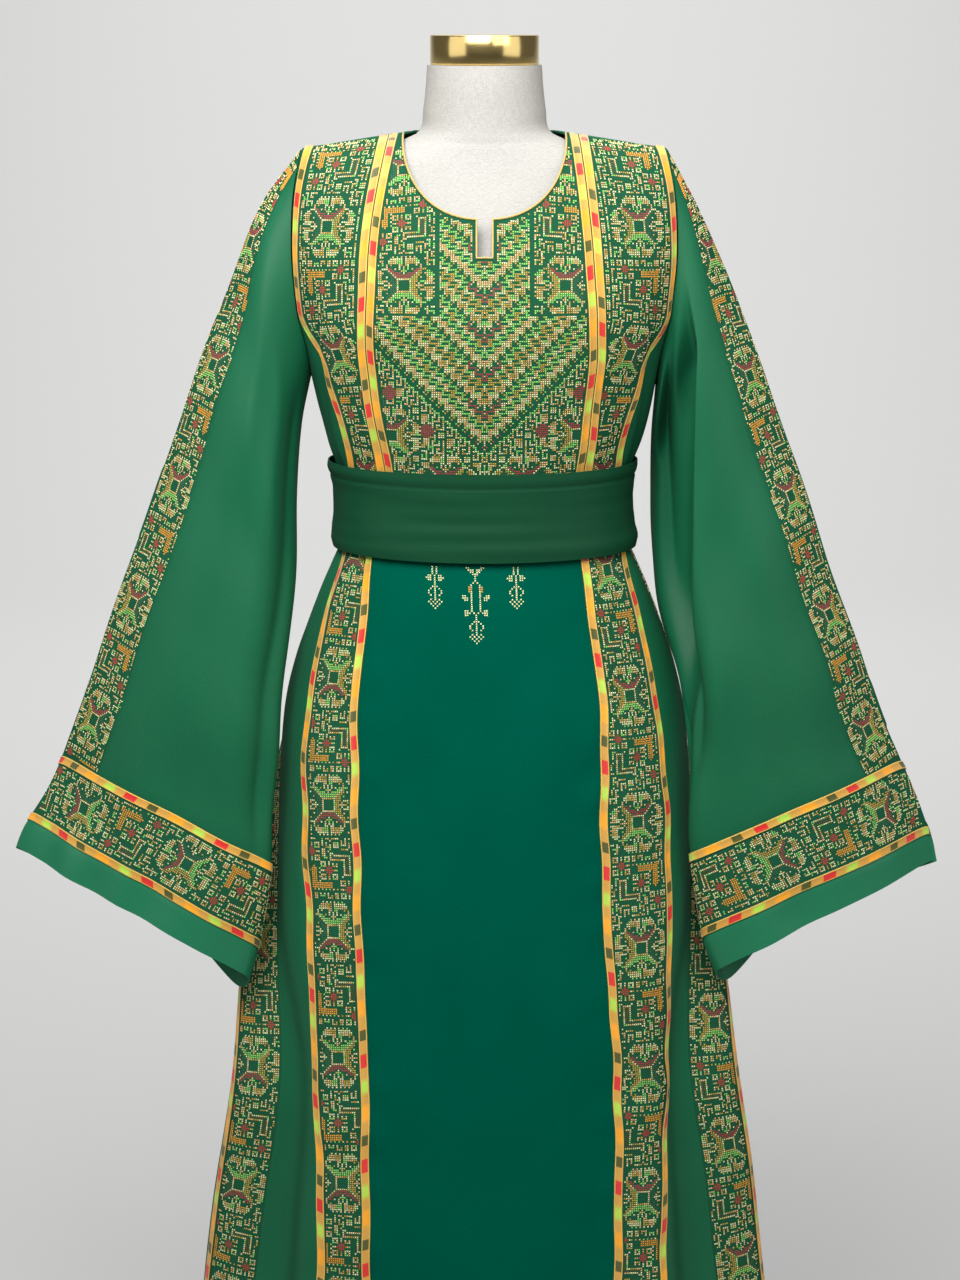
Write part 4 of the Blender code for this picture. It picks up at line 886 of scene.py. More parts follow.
stations = np.concatenate([[0.003, 0.012], np.linspace(0.03, 1.0, 76)])
cuff_rows = np.concatenate([[1.0, 1.0012], np.linspace(1.004, 1.116, 9), [1.1188, 1.12]])[:, None]
hem_rows = np.concatenate([[1.12, 1.1212], np.linspace(1.124, 1.18, 8)])[:, None]
for side, sign in SIDES.items():
    first, last = band_turns(side, stations)
    under = 180 + 0 * stations
    for node, start, end, count, look, slot in (
        ("sleeve_band_", first, last, 9, ground_look, "embroidered_cloth"),
        ("sleeve_front_", last, under, 72, satin_look, "satin"),
        ("sleeve_back_", under, 360 + first, 30, satin_look, "satin"),
    ):
        u, v = between((start, stations), (end, stations), shares(count))
        points = rolled(sleeve_point(side, u, v), sign, ("first", "last", "top"))
        panel(node + side, points, look, slot, sign, rests_on=("bodice_back",))
    around = np.linspace(first[-1], first[-1] + 360, 97)
    for node, rows, edges, look, slot in (
        ("cuff_band_", cuff_rows, ("bottom", "top"), ground_look, "embroidered_cloth"),
        ("sleeve_hem_", hem_rows, ("bottom",), hem_painted_sheen_look, "satin"),
    ):
        panel(node + side, rolled(sleeve_point(side, around, rows), sign, edges), look, slot, sign)
print("sleeve pieces:", [name for name in made if "sleeve" in name or "cuff" in name])

# %% [markdown]
# ## The belt
# A wide satin sash round the waist. Its top edge is turned over, so a soft groove runs under a narrow
# roll, and it creases lengthways where it pulls round the waist.

# %% Belt
BELT = table(
    "height right left front back",
    (1.0550, 0.1485, 0.1488, 0.1075, 0.0995),
    (1.0640, 0.1502, 0.1502, 0.1083, 0.0998),
    (1.0850, 0.1485, 0.1470, 0.1075, 0.0982),
    (1.1080, 0.1480, 0.1455, 0.1072, 0.0975),
    (1.1280, 0.1515, 0.1478, 0.1088, 0.0982),
    (1.1345, 0.1530, 0.1490, 0.1096, 0.0988),
    (1.1400, 0.1525, 0.1495, 0.1100, 0.0990),
)
GROOVE_Z, ROLL_Z = 1.1262, 1.1325  # heights of the groove and of the roll over it


def belt_point(turn, height):
    """Outer face of the belt, with the groove under its turned edge and its long creases."""
    turn, height = np.broadcast_arrays(turn, height)
    sine, cosine = np.sin(np.radians(turn)), np.cos(np.radians(turn))
    wide = read_either(turn % 360 < 180, BELT, "left", "right", height)
    deep = read_either(cosine > 0, BELT, "front", "back", height)
    groove = -0.0009 * hill(height - GROOVE_Z, 0.0016) + 0.0005 * hill(height - ROLL_Z, 0.0040)
    long_crease = 0.0005 * ripple(sine * 0.035 + cosine * 0.02, height * 1.6, 0.034, 71)
    soft = long_crease * smooth_between(1.056, 1.066, height) * (1 - smooth_between(1.116, 1.124, height))
    out = groove + soft
    return np.stack([(wide + out) * sine, -(deep + out) * cosine, height], -1)


belt_heights = np.concatenate([np.linspace(1.0552, 1.120, 18), np.linspace(1.1225, 1.1398, 12)])[:, None]
belt_points = belt_point(np.linspace(180, 540, 145)[None, :], belt_heights)
panel("belt", belt_points, belt_look, "satin", rests_on=("front_yoke", "skirt_front_panel"), held="stretched")
print("cut pieces so far:", len(made))

# %% [markdown]
# ## Woven ribbon
# A narrow ribbon covers most seams of the embroidered panels. It has a bright thread along both edges,
# a thin line of painted shadow outside them, and a peach ground with green, red, dark and orange blocks.
# It is laid on the panel's own points, so it never leaves the cloth, and its UV map runs across it and
# along it, where one colour ramp repeats.

# %% Ribbon material
RIBBON_REPEAT = 0.103
THREADS = {
    "cream": (0.860, 0.800, 0.400),
    "peach": (0.840, 0.500, 0.200),
    "lime": (0.300, 0.680, 0.120),
    "orange": (0.820, 0.330, 0.012),
    "red": (0.520, 0.016, 0.016),
    "crimson": (0.380, 0.010, 0.035),
    "olive": (0.060, 0.038, 0.008),
    "leaf": (0.012, 0.080, 0.030),
    "gold": (0.560, 0.330, 0.030),
}
SHADES = {  # the ribbon's own colours, which are brighter than the stitching thread
    "lime": (0.420, 0.660, 0.060),
    "red": (0.660, 0.018, 0.014),
    "olive": (0.070, 0.075, 0.008),
    "orange": (0.900, 0.350, 0.008),
}
# The last colour on the next line is painted shadow: a thin dark line along the ribbon's outer edges, where
# it meets the cloth.
PEACH, RIBBON_EDGE, RIBBON_PAINTED_SHADOW = (0.600, 0.305, 0.045), (0.640, 0.430, 0.075), (0.070, 0.050, 0.006)
BLOCKS = (  # colour, where it starts, how long it is and how soft its ends are, in shares of one repeat
    ("red", 0.030, 0.130, 0.006),
    ("olive", 0.290, 0.100, 0.006),
    ("orange", 0.500, 0.150, 0.050),
    ("lime", 0.770, 0.120, 0.050),
)
RIBBON_SLANT, RIBBON_THREAD = 0.35, 0.0009


def ribbon_look():
    """Blocks of colour along a peach ribbon, slanted a little, bright edge threads, and a painted shadow line
    outside.
    """
    look = Look("ribbon")
    flat = look.add("UVMap", "UV", {"uv_map": "flat"})
    across = look.add("SeparateXYZ", "X", Vector=flat)
    along = across.node.outputs["Y"]
    slant = look.maths("ADD", along, look.maths("MULTIPLY", across, RIBBON_SLANT))
    stops = []
    for name, start, wide, soft in BLOCKS:
        end, shade = start + wide, SHADES[name]
        stops += [(start, PEACH), (start + soft, shade), (end, shade), (end + soft, PEACH)]
    colour = look.ramp(look.maths("FRACT", look.maths("DIVIDE", slant, RIBBON_REPEAT)), *stops)
    from_middle = look.maths("ABSOLUTE", across)
    # The outer 0.7 mm of each edge is painted shadow, and inside it lies a bright edge thread.
    for inside, shade in ((0.0017, RIBBON_EDGE), (0.0007, RIBBON_PAINTED_SHADOW)):
        at_edge = look.maths("GREATER_THAN", from_middle, RIBBON * 0.5 - inside)
        colour = look.mix(at_edge, colour, (*shade, 1))
    look.shader(Roughness=0.45, Sheen_Weight=0.2, Base_Color=colour)
    threads = look.maths("SINE", look.maths("MULTIPLY", along, 2 * math.pi / RIBBON_THREAD))
    look.relief(threads, 0.35, 0.0002)
    return look.material


ribbon_finish = ribbon_look()
print("one repeat of the ribbon is", RIBBON_REPEAT, "m long")

# %% [markdown]
# A ribbon is a narrow grid on top of a panel. Its profile across has two raised edge threads and a low
# middle, and its place is measured on the cloth from the panel's edge, so that it covers the seam.

# %% Ribbons over the seams
RIBBON_ACROSS = np.array([0.0, 0.05, 0.13, 0.2, 0.5, 0.8, 0.87, 0.95, 1.0])
RIBBON_RISE = np.array([0.0003, 0.0011, 0.0013, 0.0009, 0.0012, 0.0009, 0.0013, 0.0011, 0.0003])
RIBBON_LIFT, RIBBON_THICK, ARMHOLE_INSET = 0.0002, 0.0004, 0.0028


def along_rows(at, walked, grid):
    """Each row of a grid read at distances along it, where walked says how far along its columns are."""
    return np.array([
        np.stack([np.interp(a, w, row[:, k]) for k in range(3)], -1) for a, w, row in zip(at, walked, grid)
    ])


def strip(laid, edge, inset, width):
    """Points and directions at distances across a panel from one of its edges, row after row."""
    points, out = laid["points"], laid["normals"]
    if edge in ("bottom", "top"):
        points, out = points.transpose(1, 0, 2), out.transpose(1, 0, 2)
    if edge in ("last", "top"):
        points, out = points[:, ::-1], out[:, ::-1]
    at = np.tile(inset + RIBBON_ACROSS * width, (len(points), 1))
    walked = lengths(points, 1)
    return along_rows(at, walked, points), along_rows(at, walked, out)


def ribbon(node, laid, edge, start, inset=SEAM_GAP):
    """A ribbon beside one edge of a panel, in place of its solid. Its pattern begins at start."""
    width = RIBBON - 2 * SEAM_GAP
    points, out = strip(laid, edge, inset, width)
    points = points + out * (RIBBON_LIFT + RIBBON_RISE)[:, None]
    along = lengths(points, 0).mean(axis=1) + start
    across = (RIBBON_ACROSS - 0.5) * width
    flat = np.stack(np.broadcast_arrays(across[None, :], along[:, None]), -1)
    faces_out = laid["outward"] * (-1 if edge in ("last", "bottom") else 1)
    piece = grid_cloth(node + "_ribbon", points, ribbon_finish, faces_out, RIBBON_THICK, flat)
    stands_for(piece, node)
    laid["on_it"].append(piece)


for side, sign in SIDES.items():
    start = 0.03 if side == "left" else 0.11
    ribbon("trim_yoke_" + side, made["front_yoke"], "first" if side == "right" else "last", start + 0.05)
    for node, panel_name, edge, later, inset in (
        ("trim_front_", "bodice_front_", "first", 0.00, SEAM_GAP),
        ("trim_armhole_", "bodice_front_", "last", 0.00, ARMHOLE_INSET),
        ("trim_skirt_inner_", "skirt_front_band_", "first", 0.06, SEAM_GAP),
        ("trim_skirt_outer_", "skirt_front_band_", "last", 0.00, SEAM_GAP),
        ("trim_skirt_side_", "skirt_side_band_", "last", 0.00, SEAM_GAP),
        ("trim_cuff_top_", "cuff_band_", "bottom", 0.00, 0.0),
        ("trim_cuff_bottom_", "cuff_band_", "top", 0.05, 0.0),
    ):
        ribbon(node + side, made[panel_name + side], edge, start + later, inset)
print("ribbons:", sum(len(laid["on_it"]) for laid in made.values()))

# %% [markdown]
# ## Neck piping
# A fine gold cord is sewn round the neckline and down both sides of the slit, just inside the cut edge.
# It is a curve with a round section, made a mesh, because a curve bends evenly round the neck.

# %% Piping
PIPING_RADIUS, PIPING_TWIST, PIPING_OFFSET = 0.0010, 0.0011, (0, -0.0004, 0.0004)


def twisted_look(name, light, dark):
    """Fine slanting stripes from a light to a dark tone of one colour: painted shade in a cord's twist."""
    look = Look(name)
    stripes = look.waves("DIAGONAL", 1 / PIPING_TWIST / 3, look.add("TexCoord", "Object"))
    look.shader(Roughness=0.4, Base_Color=look.ramp(stripes, (0.0, dark), (1.0, light)))
    return look.material


def neck_path():
    """The neckline's points, from one shoulder down round the slit and up to the other."""
    x = neck_columns(60, clear=0.001)
    level = level_at(x, neckline_z(x))
    down = np.linspace(level[-1], SLIT_LEVEL, 14)[1:]
    x, level = np.concatenate([x, 0 * down + SLIT_HALF]), np.concatenate([level, down])
    x, level = np.concatenate([-x, [0], x[::-1]]), np.concatenate([level, [SLIT_LEVEL], level[::-1]])
    return bodice_point(bodice_turn(x, level), level)


def cord_along(name, line, radius, look):
    """A round cord along a line of points, as a mesh."""
    curve = bpy.data.curves.new(name, "CURVE")
    curve.dimensions, curve.bevel_depth, curve.bevel_resolution = "3D", radius, 2
    curve.use_fill_caps = True
    spline = curve.splines.new("POLY")
    spline.points.add(len(line) - 1)
    for point, place in zip(spline.points, line):
        point.co = (*place, 1)
    maker = placed(name, curve, ride=False)
    mesh = bpy.data.meshes.new_from_object(maker.evaluated_get(bpy.context.evaluated_depsgraph_get()))
    bpy.data.objects.remove(maker)
    mesh.materials.clear()
    mesh.materials.append(look)
    mesh.polygons.foreach_set("use_smooth", [True] * len(mesh.polygons))
    return placed(name, mesh)


neck_line = neck_path()
# The darker tone is the gold in painted shade, for the grooves of the twist.
piping_look = twisted_look("piping", (0.66, 0.46, 0.14), (0.34, 0.22, 0.05))
piping = cord_along("neck_piping", neck_line + PIPING_OFFSET, PIPING_RADIUS, piping_look)
stands_for(piping, "neck_binding")
print("piping", round(float(lengths(neck_line[None], 1)[0, -1]), 3), "m long")

# %% [markdown]
# ## Charts for the cross-stitch
# Cross-stitch is worked on a square grid from a chart, one letter for each stitch. A few small motifs,
# the petal of a flower, a star, an arrow and an elbow, are charted here and stamped on a band's
# chart, and a tile of short bars fills the rest. They then give tens of thousands of stitches.

# %% Motifs
STITCH = 0.00205  # distance between stitches
LETTERS = " cplormdgy"  # one for each of THREADS, after the space, which is a free place
FREE, BARE, OWN_COLOUR = -1, 0, 99  # a space, a dot and an X
PETAL = (  # one petal with its two fans
    "...c.c.c.c.c.c...",
    "..cccccc.cccccc..",
    ".cccpccc.cccpccc.",
    ".ccccccc.ccccccc.",
    "c.c...cc.cc...c.c",
    "c.....c.c.c.....c",
    "cXX.c.c.c.c.c.XXc",
    " cXX...ccc...XXc ",
    "  cXXXX.c.XXXXc  ",
    "   cXXXXXXXXXc   ",
    "    cXXXXXXXc    ",
)
STAR = (
    "ccc.c.ccc",
    "c.c.c.c.c",
    "ccc.r.ccc",
    "...rrr...",
    "ccrrrrrcc",
    "...rrr...",
    "ccc.r.ccc",
    "c.c.c.c.c",
    "ccc.c.ccc",
)
GOLD_ARROW = (
    "c.c.c.c.c.ooc",
    ".oooooooooooo",
    ".ooooooooooo.",
    ".oooooooooooc",
    ".......c.ooo.",
    "       ..oooc",
    "       c.ooo.",
    "       ..oooc",
    "       c.ooo.",
    "       ..oooc",
    "       c.ooo.",
    "       ...o..",
)
DARK_ELBOW = (
    "cccc       ",
    "cddc.      ",
    "cddc.      ",
    "cddc.      ",
    "cddc.      ",
    "cddc.      ",
    "cddc.......",
    "cddcccccccc",
    "cdddddddddc",
    "cccccccccdc",
    ".........cc",
)
FRET = (
    "c.cccc.c.ccc",
    "c.cppc.c.c..",
    "c.cppc.c.c.c",
    "..cccc.....c",
    "cc.....ccc.c",
    ".c.ccc.cpc.c",
    ".c.c.c.ccc..",
    "...c.c.....c",
    "cc.c...cccc.",
    "c..ccc.c..c.",
    "c.c....c.cc.",
    "ccc.cc.c....",
)


def letters(rows):
    """A chart as numbers: free, bare, or from 1 on the thread's place in THREADS."""
    marks = {mark: place for place, mark in enumerate(LETTERS)} | {" ": FREE, ".": BARE, "X": OWN_COLOUR}
    wide = max(len(row) for row in rows)
    return np.array([[marks[mark] for mark in row.ljust(wide)] for row in rows])


def stamp(chart, motif, row, column):
    """Puts a motif on a chart with its middle at a place. Rows run on round the chart."""
    for r, line in enumerate(motif):
        for c, mark in enumerate(line):
            x = column + c - len(line) // 2
            if mark != FREE and 0 <= x < chart.shape[1]:
                chart[(row + r - len(motif) // 2) % chart.shape[0], x] = mark


def flower():
    """Four petals round a small square, every petal turned a quarter from the last."""
    chart = np.full((29, 29), FREE)
    down, right = np.abs(np.mgrid[-14:15, -14:15])
    for turns, mark in enumerate("mylg"):
        petal = letters(PETAL)
        petal[petal == OWN_COLOUR] = LETTERS.index(mark)
        whole = np.full((29, 29), FREE)
        whole[0:11, 6:23] = petal
        whole = np.rot90(whole, turns)
        own = right > down if turns % 2 else down >= right
        chart = np.where((whole != FREE) & own, whole, chart)
    chart[11:18, 11:18] = LETTERS.index("c")
    chart[12:17, 12:17] = BARE
    return chart


FLOWER = flower()
print("the flower is", len(FLOWER), "stitches wide")

# %% [markdown]
# ## The band's chart
# One repeat is 60 stitches long and 29 wide. The flower fills its upper part. Under it three stars step
# down in a slanting line, with a gold arrow on one side and a dark elbow on the other. Short bars fill
# the rest, and go on for nine stitches at both sides, for the places where a panel is wider.

# %% Band chart
REPEAT, BAND_STITCHES, MARGIN = 60, 29, 9


def fret(rows, columns):
    """The fill of short bars, as large as asked for."""
    tile = letters(FRET)
    return np.tile(tile, (rows // len(tile) + 1, columns // len(tile) + 1))[:rows, :columns]


def band_chart():
    """One repeat of the band, with its margins."""
    chart = np.full((REPEAT, BAND_STITCHES), FREE)
    for motif, row, column in (
        (STAR, 20, 5), (STAR, 29, 15), (STAR, 38, 24), (GOLD_ARROW, 26, 19), (DARK_ELBOW, 32, 9),
    ):
        stamp(chart, letters(motif), row, column)
    stamp(chart, FLOWER, 0, 14)
    chart = np.pad(chart, ((0, 0), (MARGIN, MARGIN)), constant_values=FREE)
    taken = chart != FREE
    near = np.any([np.roll(taken, step, axis) for step in (1, -1) for axis in (0, 1)], axis=0)
    return warmed(np.where(taken, chart, np.where(near, BARE, fret(*chart.shape))))


def warmed(chart):
    """Some of the cream stitches in peach, lime and gold thread, in short runs."""
    row, column = np.indices(chart.shape)
    run = (row // 2 * 5 + column // 3 * 3) % 7
    cream, peach, lime, gold = (LETTERS.index(mark) for mark in "cply")
    warm = np.select([run < 2, run == 4, run == 5], [peach, lime, gold], cream)
    return np.where(chart == cream, warm, chart)


BAND_CHART = band_chart()
print("band chart:", (BAND_CHART > 0).sum(), "stitches of", BAND_CHART.size)

# %% [markdown]
# ## The yoke's chart
# The yoke is the same on both sides of the slit. Beside the neck it carries the band's flowers. Under
# them, stepped chevrons run down to the point of a big V, a crimson bracket stands on the centre line of
# each, and more flowers and two rows of diamonds fill the corners over the belt.

# %% Yoke chart
YOKE_HALF, YOKE_ROWS = 55, 190
POINT_ROW, FIELD_ROW, FIELD_STARTS, CHEVRON_REPEAT = 34, 98, 21, 18


def chevrons(i, j):
    """Thread at a place i stitches from the centre line and j above the waist, in stepped chevrons.

    Two cream bands and two single lines take turns, and all climb three stitches at every third column.
    """
    step, part = np.divmod(np.abs(i) + 1, 3)
    ring, k = np.divmod(j - POINT_ROW - 3 * step, CHEVRON_REPEAT)
    rise = part == 2
    cream, peach, lime, gold, crimson = (LETTERS.index(mark) for mark in "cplym")
    near = np.abs(i) < 8
    warm = ((k == 4) | (k == 5)) & ~rise
    out = np.where((k >= 2 + 3 * rise) & (k <= 7), np.where(warm, peach, cream), BARE)
    out = np.where((k >= 11 + 3 * rise) & (k <= 14), np.where(step % 4 == 1, gold, cream), out)
    out = np.where((k == 9) | (rise & (k >= 9) & (k <= 12)), np.where(ring % 2 == 0, lime, gold), out)
    out = np.where((k == 16) | (rise & ((k >= 16) | (k <= 1))), np.where(near, crimson, lime), out)
    dots = (out == BARE) & ((i + j) % 2 == 0) & (k <= 1)
    return np.where(dots, np.where(near, peach, gold), out)


def diamond(mark):
    """A small filled diamond, seven stitches wide."""
    down, right = np.abs(np.mgrid[-3:4, -3:4])
    return np.where(down + right <= 4, LETTERS.index(mark), FREE)


def yoke_chart():
    """Rows upward from the waist, columns from the centre line to the wearer's left: one half of the yoke."""
    j, i = np.mgrid[0:YOKE_ROWS, 0:YOKE_HALF]
    chart = chevrons(i, j)
    under = POINT_ROW + i - j  # rows under the big V
    chart[under > 0] = fret(YOKE_ROWS, YOKE_HALF)[under > 0]
    chart[(under > 0) & (under <= 2)] = BARE
    chart[(under > 2) & (under <= 5) & ((i + j) % 2 == 0)] = LETTERS.index("l")
    for row, column, mark in ((61, 45, "m"), (56, 50, "g"), (43, 27, "m"), (38, 32, "g")):
        stamp(chart, diamond(mark), row, column)
    flowers = np.full_like(chart, FREE)
    for row, column in ((40, 44), (17, 18)):
        stamp(flowers, FLOWER[::-1], row, column)
    chart = np.where((flowers != FREE) & (under > 4), flowers, chart)
    from_gap = i - FIELD_STARTS - 2  # two bare columns part the flowers beside the neck from the chevrons
    band = BAND_CHART[(FIELD_ROW + 14 - j) % REPEAT, MARGIN + np.clip(from_gap, 0, BAND_STITCHES + 4)]
    field = (j >= FIELD_ROW) & (from_gap >= -2)
    chart[field] = np.where((from_gap >= 0) & (j > FIELD_ROW), band, BARE)[field]
    return warmed(chart)


YOKE_CHART = yoke_chart()
print("half of the yoke's chart:", (YOKE_CHART > 0).sum(), "stitches of", YOKE_CHART.size)

# %% [markdown]
# ## Stitches
# One stitch is an eight-sided cone pressed almost flat, with every second point of its base drawn in, so
# that it has the four arms of a cross. It is made once with an operator. Its copies are then laid on a
# panel as one joined mesh, each turned to the cloth under it. A thread colour is a material of its own.

# %% One stitch, and how stitches are laid
def thread_look(name, colour):
    """Cotton thread in one colour: its strands show as fine relief, and some lie duller than others."""
    look = Look("thread_" + name)
    strands = look.noise(look.add("TexCoord", "Object"), 2200)
    dull = look.add("MapRange", "Result", To_Min=0.45, To_Max=0.8, Value=strands)
    look.shader(Base_Color=(*colour, 1), Sheen_Weight=0.2, Roughness=dull)
    look.relief(strands, 0.3, 0.0001)
    return look.material


thread_looks = [thread_look(name, colour) for name, colour in THREADS.items()]
STITCH_REACH, STITCH_WAIST, STITCH_HEIGHT, STITCH_LIFT = 0.00122, 0.00047, 0.00048, 0.00005
BESIDE = 0.006  # how far to both sides of its middle line a panel's slant is measured


def one_stitch():
    """Corners (x, y across the cloth, z out of it) and triangles of a single cross-stitch."""
    bm = bmesh.new()
    bmesh.ops.create_cone(bm, segments=8, radius1=STITCH_REACH, radius2=0, depth=STITCH_HEIGHT)
    bmesh.ops.remove_doubles(bm, verts=bm.verts, dist=1e-6)
    for vertex in bm.verts:
        turn = math.degrees(math.atan2(vertex.co.y, vertex.co.x))
        between_arms = abs((turn + 45) % 90 - 45) < 20
        if vertex.co.z < 0 and between_arms:
            vertex.co.xy *= STITCH_WAIST / STITCH_REACH
        vertex.co.z += STITCH_HEIGHT / 2
    bmesh.ops.triangulate(bm, faces=bm.faces)
    bm.verts.ensure_lookup_table()
    corners = np.array([v.co for v in bm.verts])
    faces = np.array([[v.index for v in face.verts] for face in bm.faces])
    bm.free()
    return corners, faces


stitch_corners, stitch_faces = one_stitch()
print("one stitch has", len(stitch_faces), "triangles")
stitch_counts = {}


def stitch_places(points, out, zero, room):
    """Where a grid of stitches lies on a panel, i across and j along: places, ways out, and which ones fit.

    Rows of stitches run square to the panel's length, also where the panel's own grid is slanted.
    """
    across = lengths(points, 1)
    across = across - (across[:, -1:] / 2 if zero is None else across[:, [zero]])
    beside = np.tile([-BESIDE, 0, BESIDE], (len(points), 1))
    left, line, right = along_rows(beside, across, points).transpose(1, 0, 2)
    along = lengths(line[:, None], 0)[:, 0]
    slant = (unit(np.gradient(line, axis=0)) * unit(right - left)).sum(-1)
    slant = np.polyval(np.polyfit(along, slant, 5), along)  # one smooth curve, so that rows don't waver
    square = np.sqrt(1 - slant**2)
    i = np.arange(int(across.min() / STITCH), int(across.max() / STITCH) + 1)
    j = np.arange(1, int(along[-1] / STITCH))
    distances = i * STITCH / square[:, None]
    first, last = across[:, :1] + room[0] + STITCH / 2, across[:, -1:] - room[1] - STITCH / 2
    fits = (distances > first) & (distances < last)
    walked = j * STITCH - i[:, None] * STITCH * np.interp(j * STITCH, along, slant / square)
    row = np.interp(walked, along, np.arange(len(along)))
    low, column = np.minimum(row.astype(int), len(along) - 2), np.arange(len(i))[:, None]
    part = (row - low)[..., None]
    place, aim = (
        grid[low, column] * (1 - part) + grid[low + 1, column] * part
        for grid in (along_rows(distances, across, points), along_rows(distances, across, out))
    )
    inside = (walked > STITCH / 2) & (walked < along[-1] - STITCH / 2)
    fits = fits[low, column] & fits[low + 1, column] & inside
    return *np.broadcast_arrays(i[:, None], j), place, aim, fits


def lay_stitches(name, laid, thread_at, zero=None, room=(RIBBON, RIBBON), keep=None):
    """Joined stitches on a panel. thread_at(i, j) gives the threads i stitches across and j rows along."""
    i, j, place, aim, fits = stitch_places(laid["points"], laid["normals"], zero, room)
    mark = thread_at(i, j)
    shown = fits & (mark > 0)
    if keep:
        shown &= keep(place)
    side_way = np.gradient(place, axis=0)[shown]
    place, aim, mark = place[shown], unit(aim[shown]), mark[shown]
    side_way = unit(side_way - aim * (side_way * aim).sum(-1, keepdims=True))
    ways = np.stack([side_way, np.cross(aim, side_way), aim], 1)
    size = np.random.default_rng(len(mark)).uniform(0.88, 1.06, (len(mark), 1, 1))
    verts = place[:, None] + (stitch_corners * size + [0, 0, STITCH_LIFT]) @ ways
    faces = stitch_faces + (np.arange(len(mark)) * len(stitch_corners))[:, None, None]
    mesh = bpy.data.meshes.new(name)
    mesh.from_pydata(verts.reshape(-1, 3), [], faces.reshape(-1, 3), shade_flat=False)
    mesh.polygons.foreach_set("material_index", np.repeat(mark - 1, len(stitch_faces)))
    for look in thread_looks:
        mesh.materials.append(look)
    mesh.validate()
    piece = placed(name, mesh)
    laid["on_it"].append(piece)
    stitch_counts[name] = len(mark)


def band_thread(start, turned=False, mirrored=False):
    """The band's chart for lay_stitches: across from the middle, along the panel's rows."""
    def at(i, j):
        half = BAND_STITCHES // 2 + MARGIN
        column = half + np.clip(-i if mirrored else i, -half, half)
        row = (start + (j if turned else -j)) % REPEAT
        return np.where(np.abs(i) <= half, BAND_CHART[row, column], BARE)
    return at


# %% [markdown]
# The yoke's grid bends round the neck, so its stitches are laid on a plain grid over the whole yoke, and
# those that fall inside the neckline or the slit are left out.

# %% Stitches on the yoke
BARE_EDGE, NECK_SIDE, SLIT_SIDE = 0.0035, 0.002, 0.0032  # bare cloth under and beside the opening


def clear_of_neck(place):
    """Which stitches of the yoke lie outside the neckline and the slit."""
    x, z = np.abs(place[..., 0]), place[..., 2] + BARE_EDGE
    neck = (x > NECK_HALF + NECK_SIDE) | (z < neckline_z(np.minimum(x, NECK_HALF)))
    return neck & ((x > SLIT_HALF + SLIT_SIDE) | (z < bodice_point(0.0, SLIT_LEVEL)[2]))


def yoke_thread(i, j):
    """The yoke's chart for lay_stitches, mirrored over the centre line."""
    i = np.abs(i)
    on_chart = (i < YOKE_HALF) & (j < YOKE_ROWS)
    return np.where(on_chart, YOKE_CHART[np.minimum(j, YOKE_ROWS - 1), np.minimum(i, YOKE_HALF - 1)], BARE)


plain_x, plain_level = np.linspace(-1, 1, 61), np.linspace(0, 1, 90)[:, None]
seams = [read(BODICE_SEAMS, "yoke_" + side, plain_level) for side in SIDES]
whole_yoke = bodice_point(bodice_turn(plain_x * np.where(plain_x < 0, *seams), plain_level), plain_level)
whole = {**made["front_yoke"], "points": whole_yoke, "normals": normals(whole_yoke)}
lay_stitches("front_yoke_stitches", whole, yoke_thread, zero=30, keep=clear_of_neck)
print("stitches on the yoke:", stitch_counts["front_yoke_stitches"])

# %% [markdown]
# Every band has the same chart. Each begins at another row of it, and some are mirrored or turned, so that
# no two stand level. A cuff's rows run round the arm, so its grid is turned a quarter first.

# %% Stitches on the bands, fronts and cuffs
for side in SIDES:
    on_right = side == "right"
    for name, thread, room in (
        ("bodice_front_", band_thread(18), (RIBBON, RIBBON + ARMHOLE_INSET)),
        ("skirt_front_band_", band_thread(26, on_right), (RIBBON, RIBBON)),
        ("skirt_side_band_", band_thread(40, on_right), (0.0005, RIBBON)),
        ("sleeve_band_", band_thread(11 if on_right else 8, True), (0.0, 0.0)),
    ):
        lay_stitches(name + "stitches_" + side, made[name + side], thread, room=room)
    cuff = made["cuff_band_" + side]
    turned_cuff = {key: cuff[key].transpose(1, 0, 2) for key in ("points", "normals")}
    lay_stitches("cuff_stitches_" + side, {**cuff, **turned_cuff}, band_thread(31, True, on_right))
print("stitches:", sum(stitch_counts.values()), "triangles:", sum(stitch_counts.values()) * len(stitch_faces))

# %% [markdown]
# ## Pendants under the belt
# Three small cream pendants hang from the waist on the plain centre panel, the middle one twice as long.

# %% Pendants
SHORT_PENDANT = (
    "...c.c...",
    "...c.c...",
    "...c.c...",
    "...c.c...",
    ".cc.c.cc.",
    "ccc.c.ccc",
    ".cc.c.cc.",
    "....c....",
    "....c....",
    "...ccc...",
    "..c.c.c..",
    ".c..c..c.",
    ".c..c..c.",
    "..c.c.c..",
    "....c....",
    "..c.c.c..",
    ".c.c.c.c.",
    "..c.c.c..",
    "...c.c...",
    "....c....",
)
LONG_PENDANT = (
    "..cc.....cc..",
    "...ccc.ccc...",
    "....cc.cc....",
    ".....ccc.....",
    "......c......",
    "......c......",
    "......c......",
    ".....c.c.....",
    "....c...c....",
    "...oc...co...",
    "...oo...oo...",
    "...oc...co...",
    "....c...c....",
    "cc..c...c..cc",
    "ccc.c...c.ccc",
    ".cc.c...c.cc.",
    "....c...c....",
    "....c...c....",
    "....c...c....",
    "....c...c....",
    ".cc.c...c.cc.",
    ".ccc.c.c.ccc.",
    ".cc...c...cc.",
    "......c......",
    "......c......",
    ".....ccc.....",
    "....c.c.c....",
    "...c..c..c...",
    "...c..c..c...",
    "....c.c.c....",
    "......c......",
    "....c.c.c....",
    "...c.c.c.c...",
    "....c.c.c....",
    ".....c.c.....",
    "......c......",
)
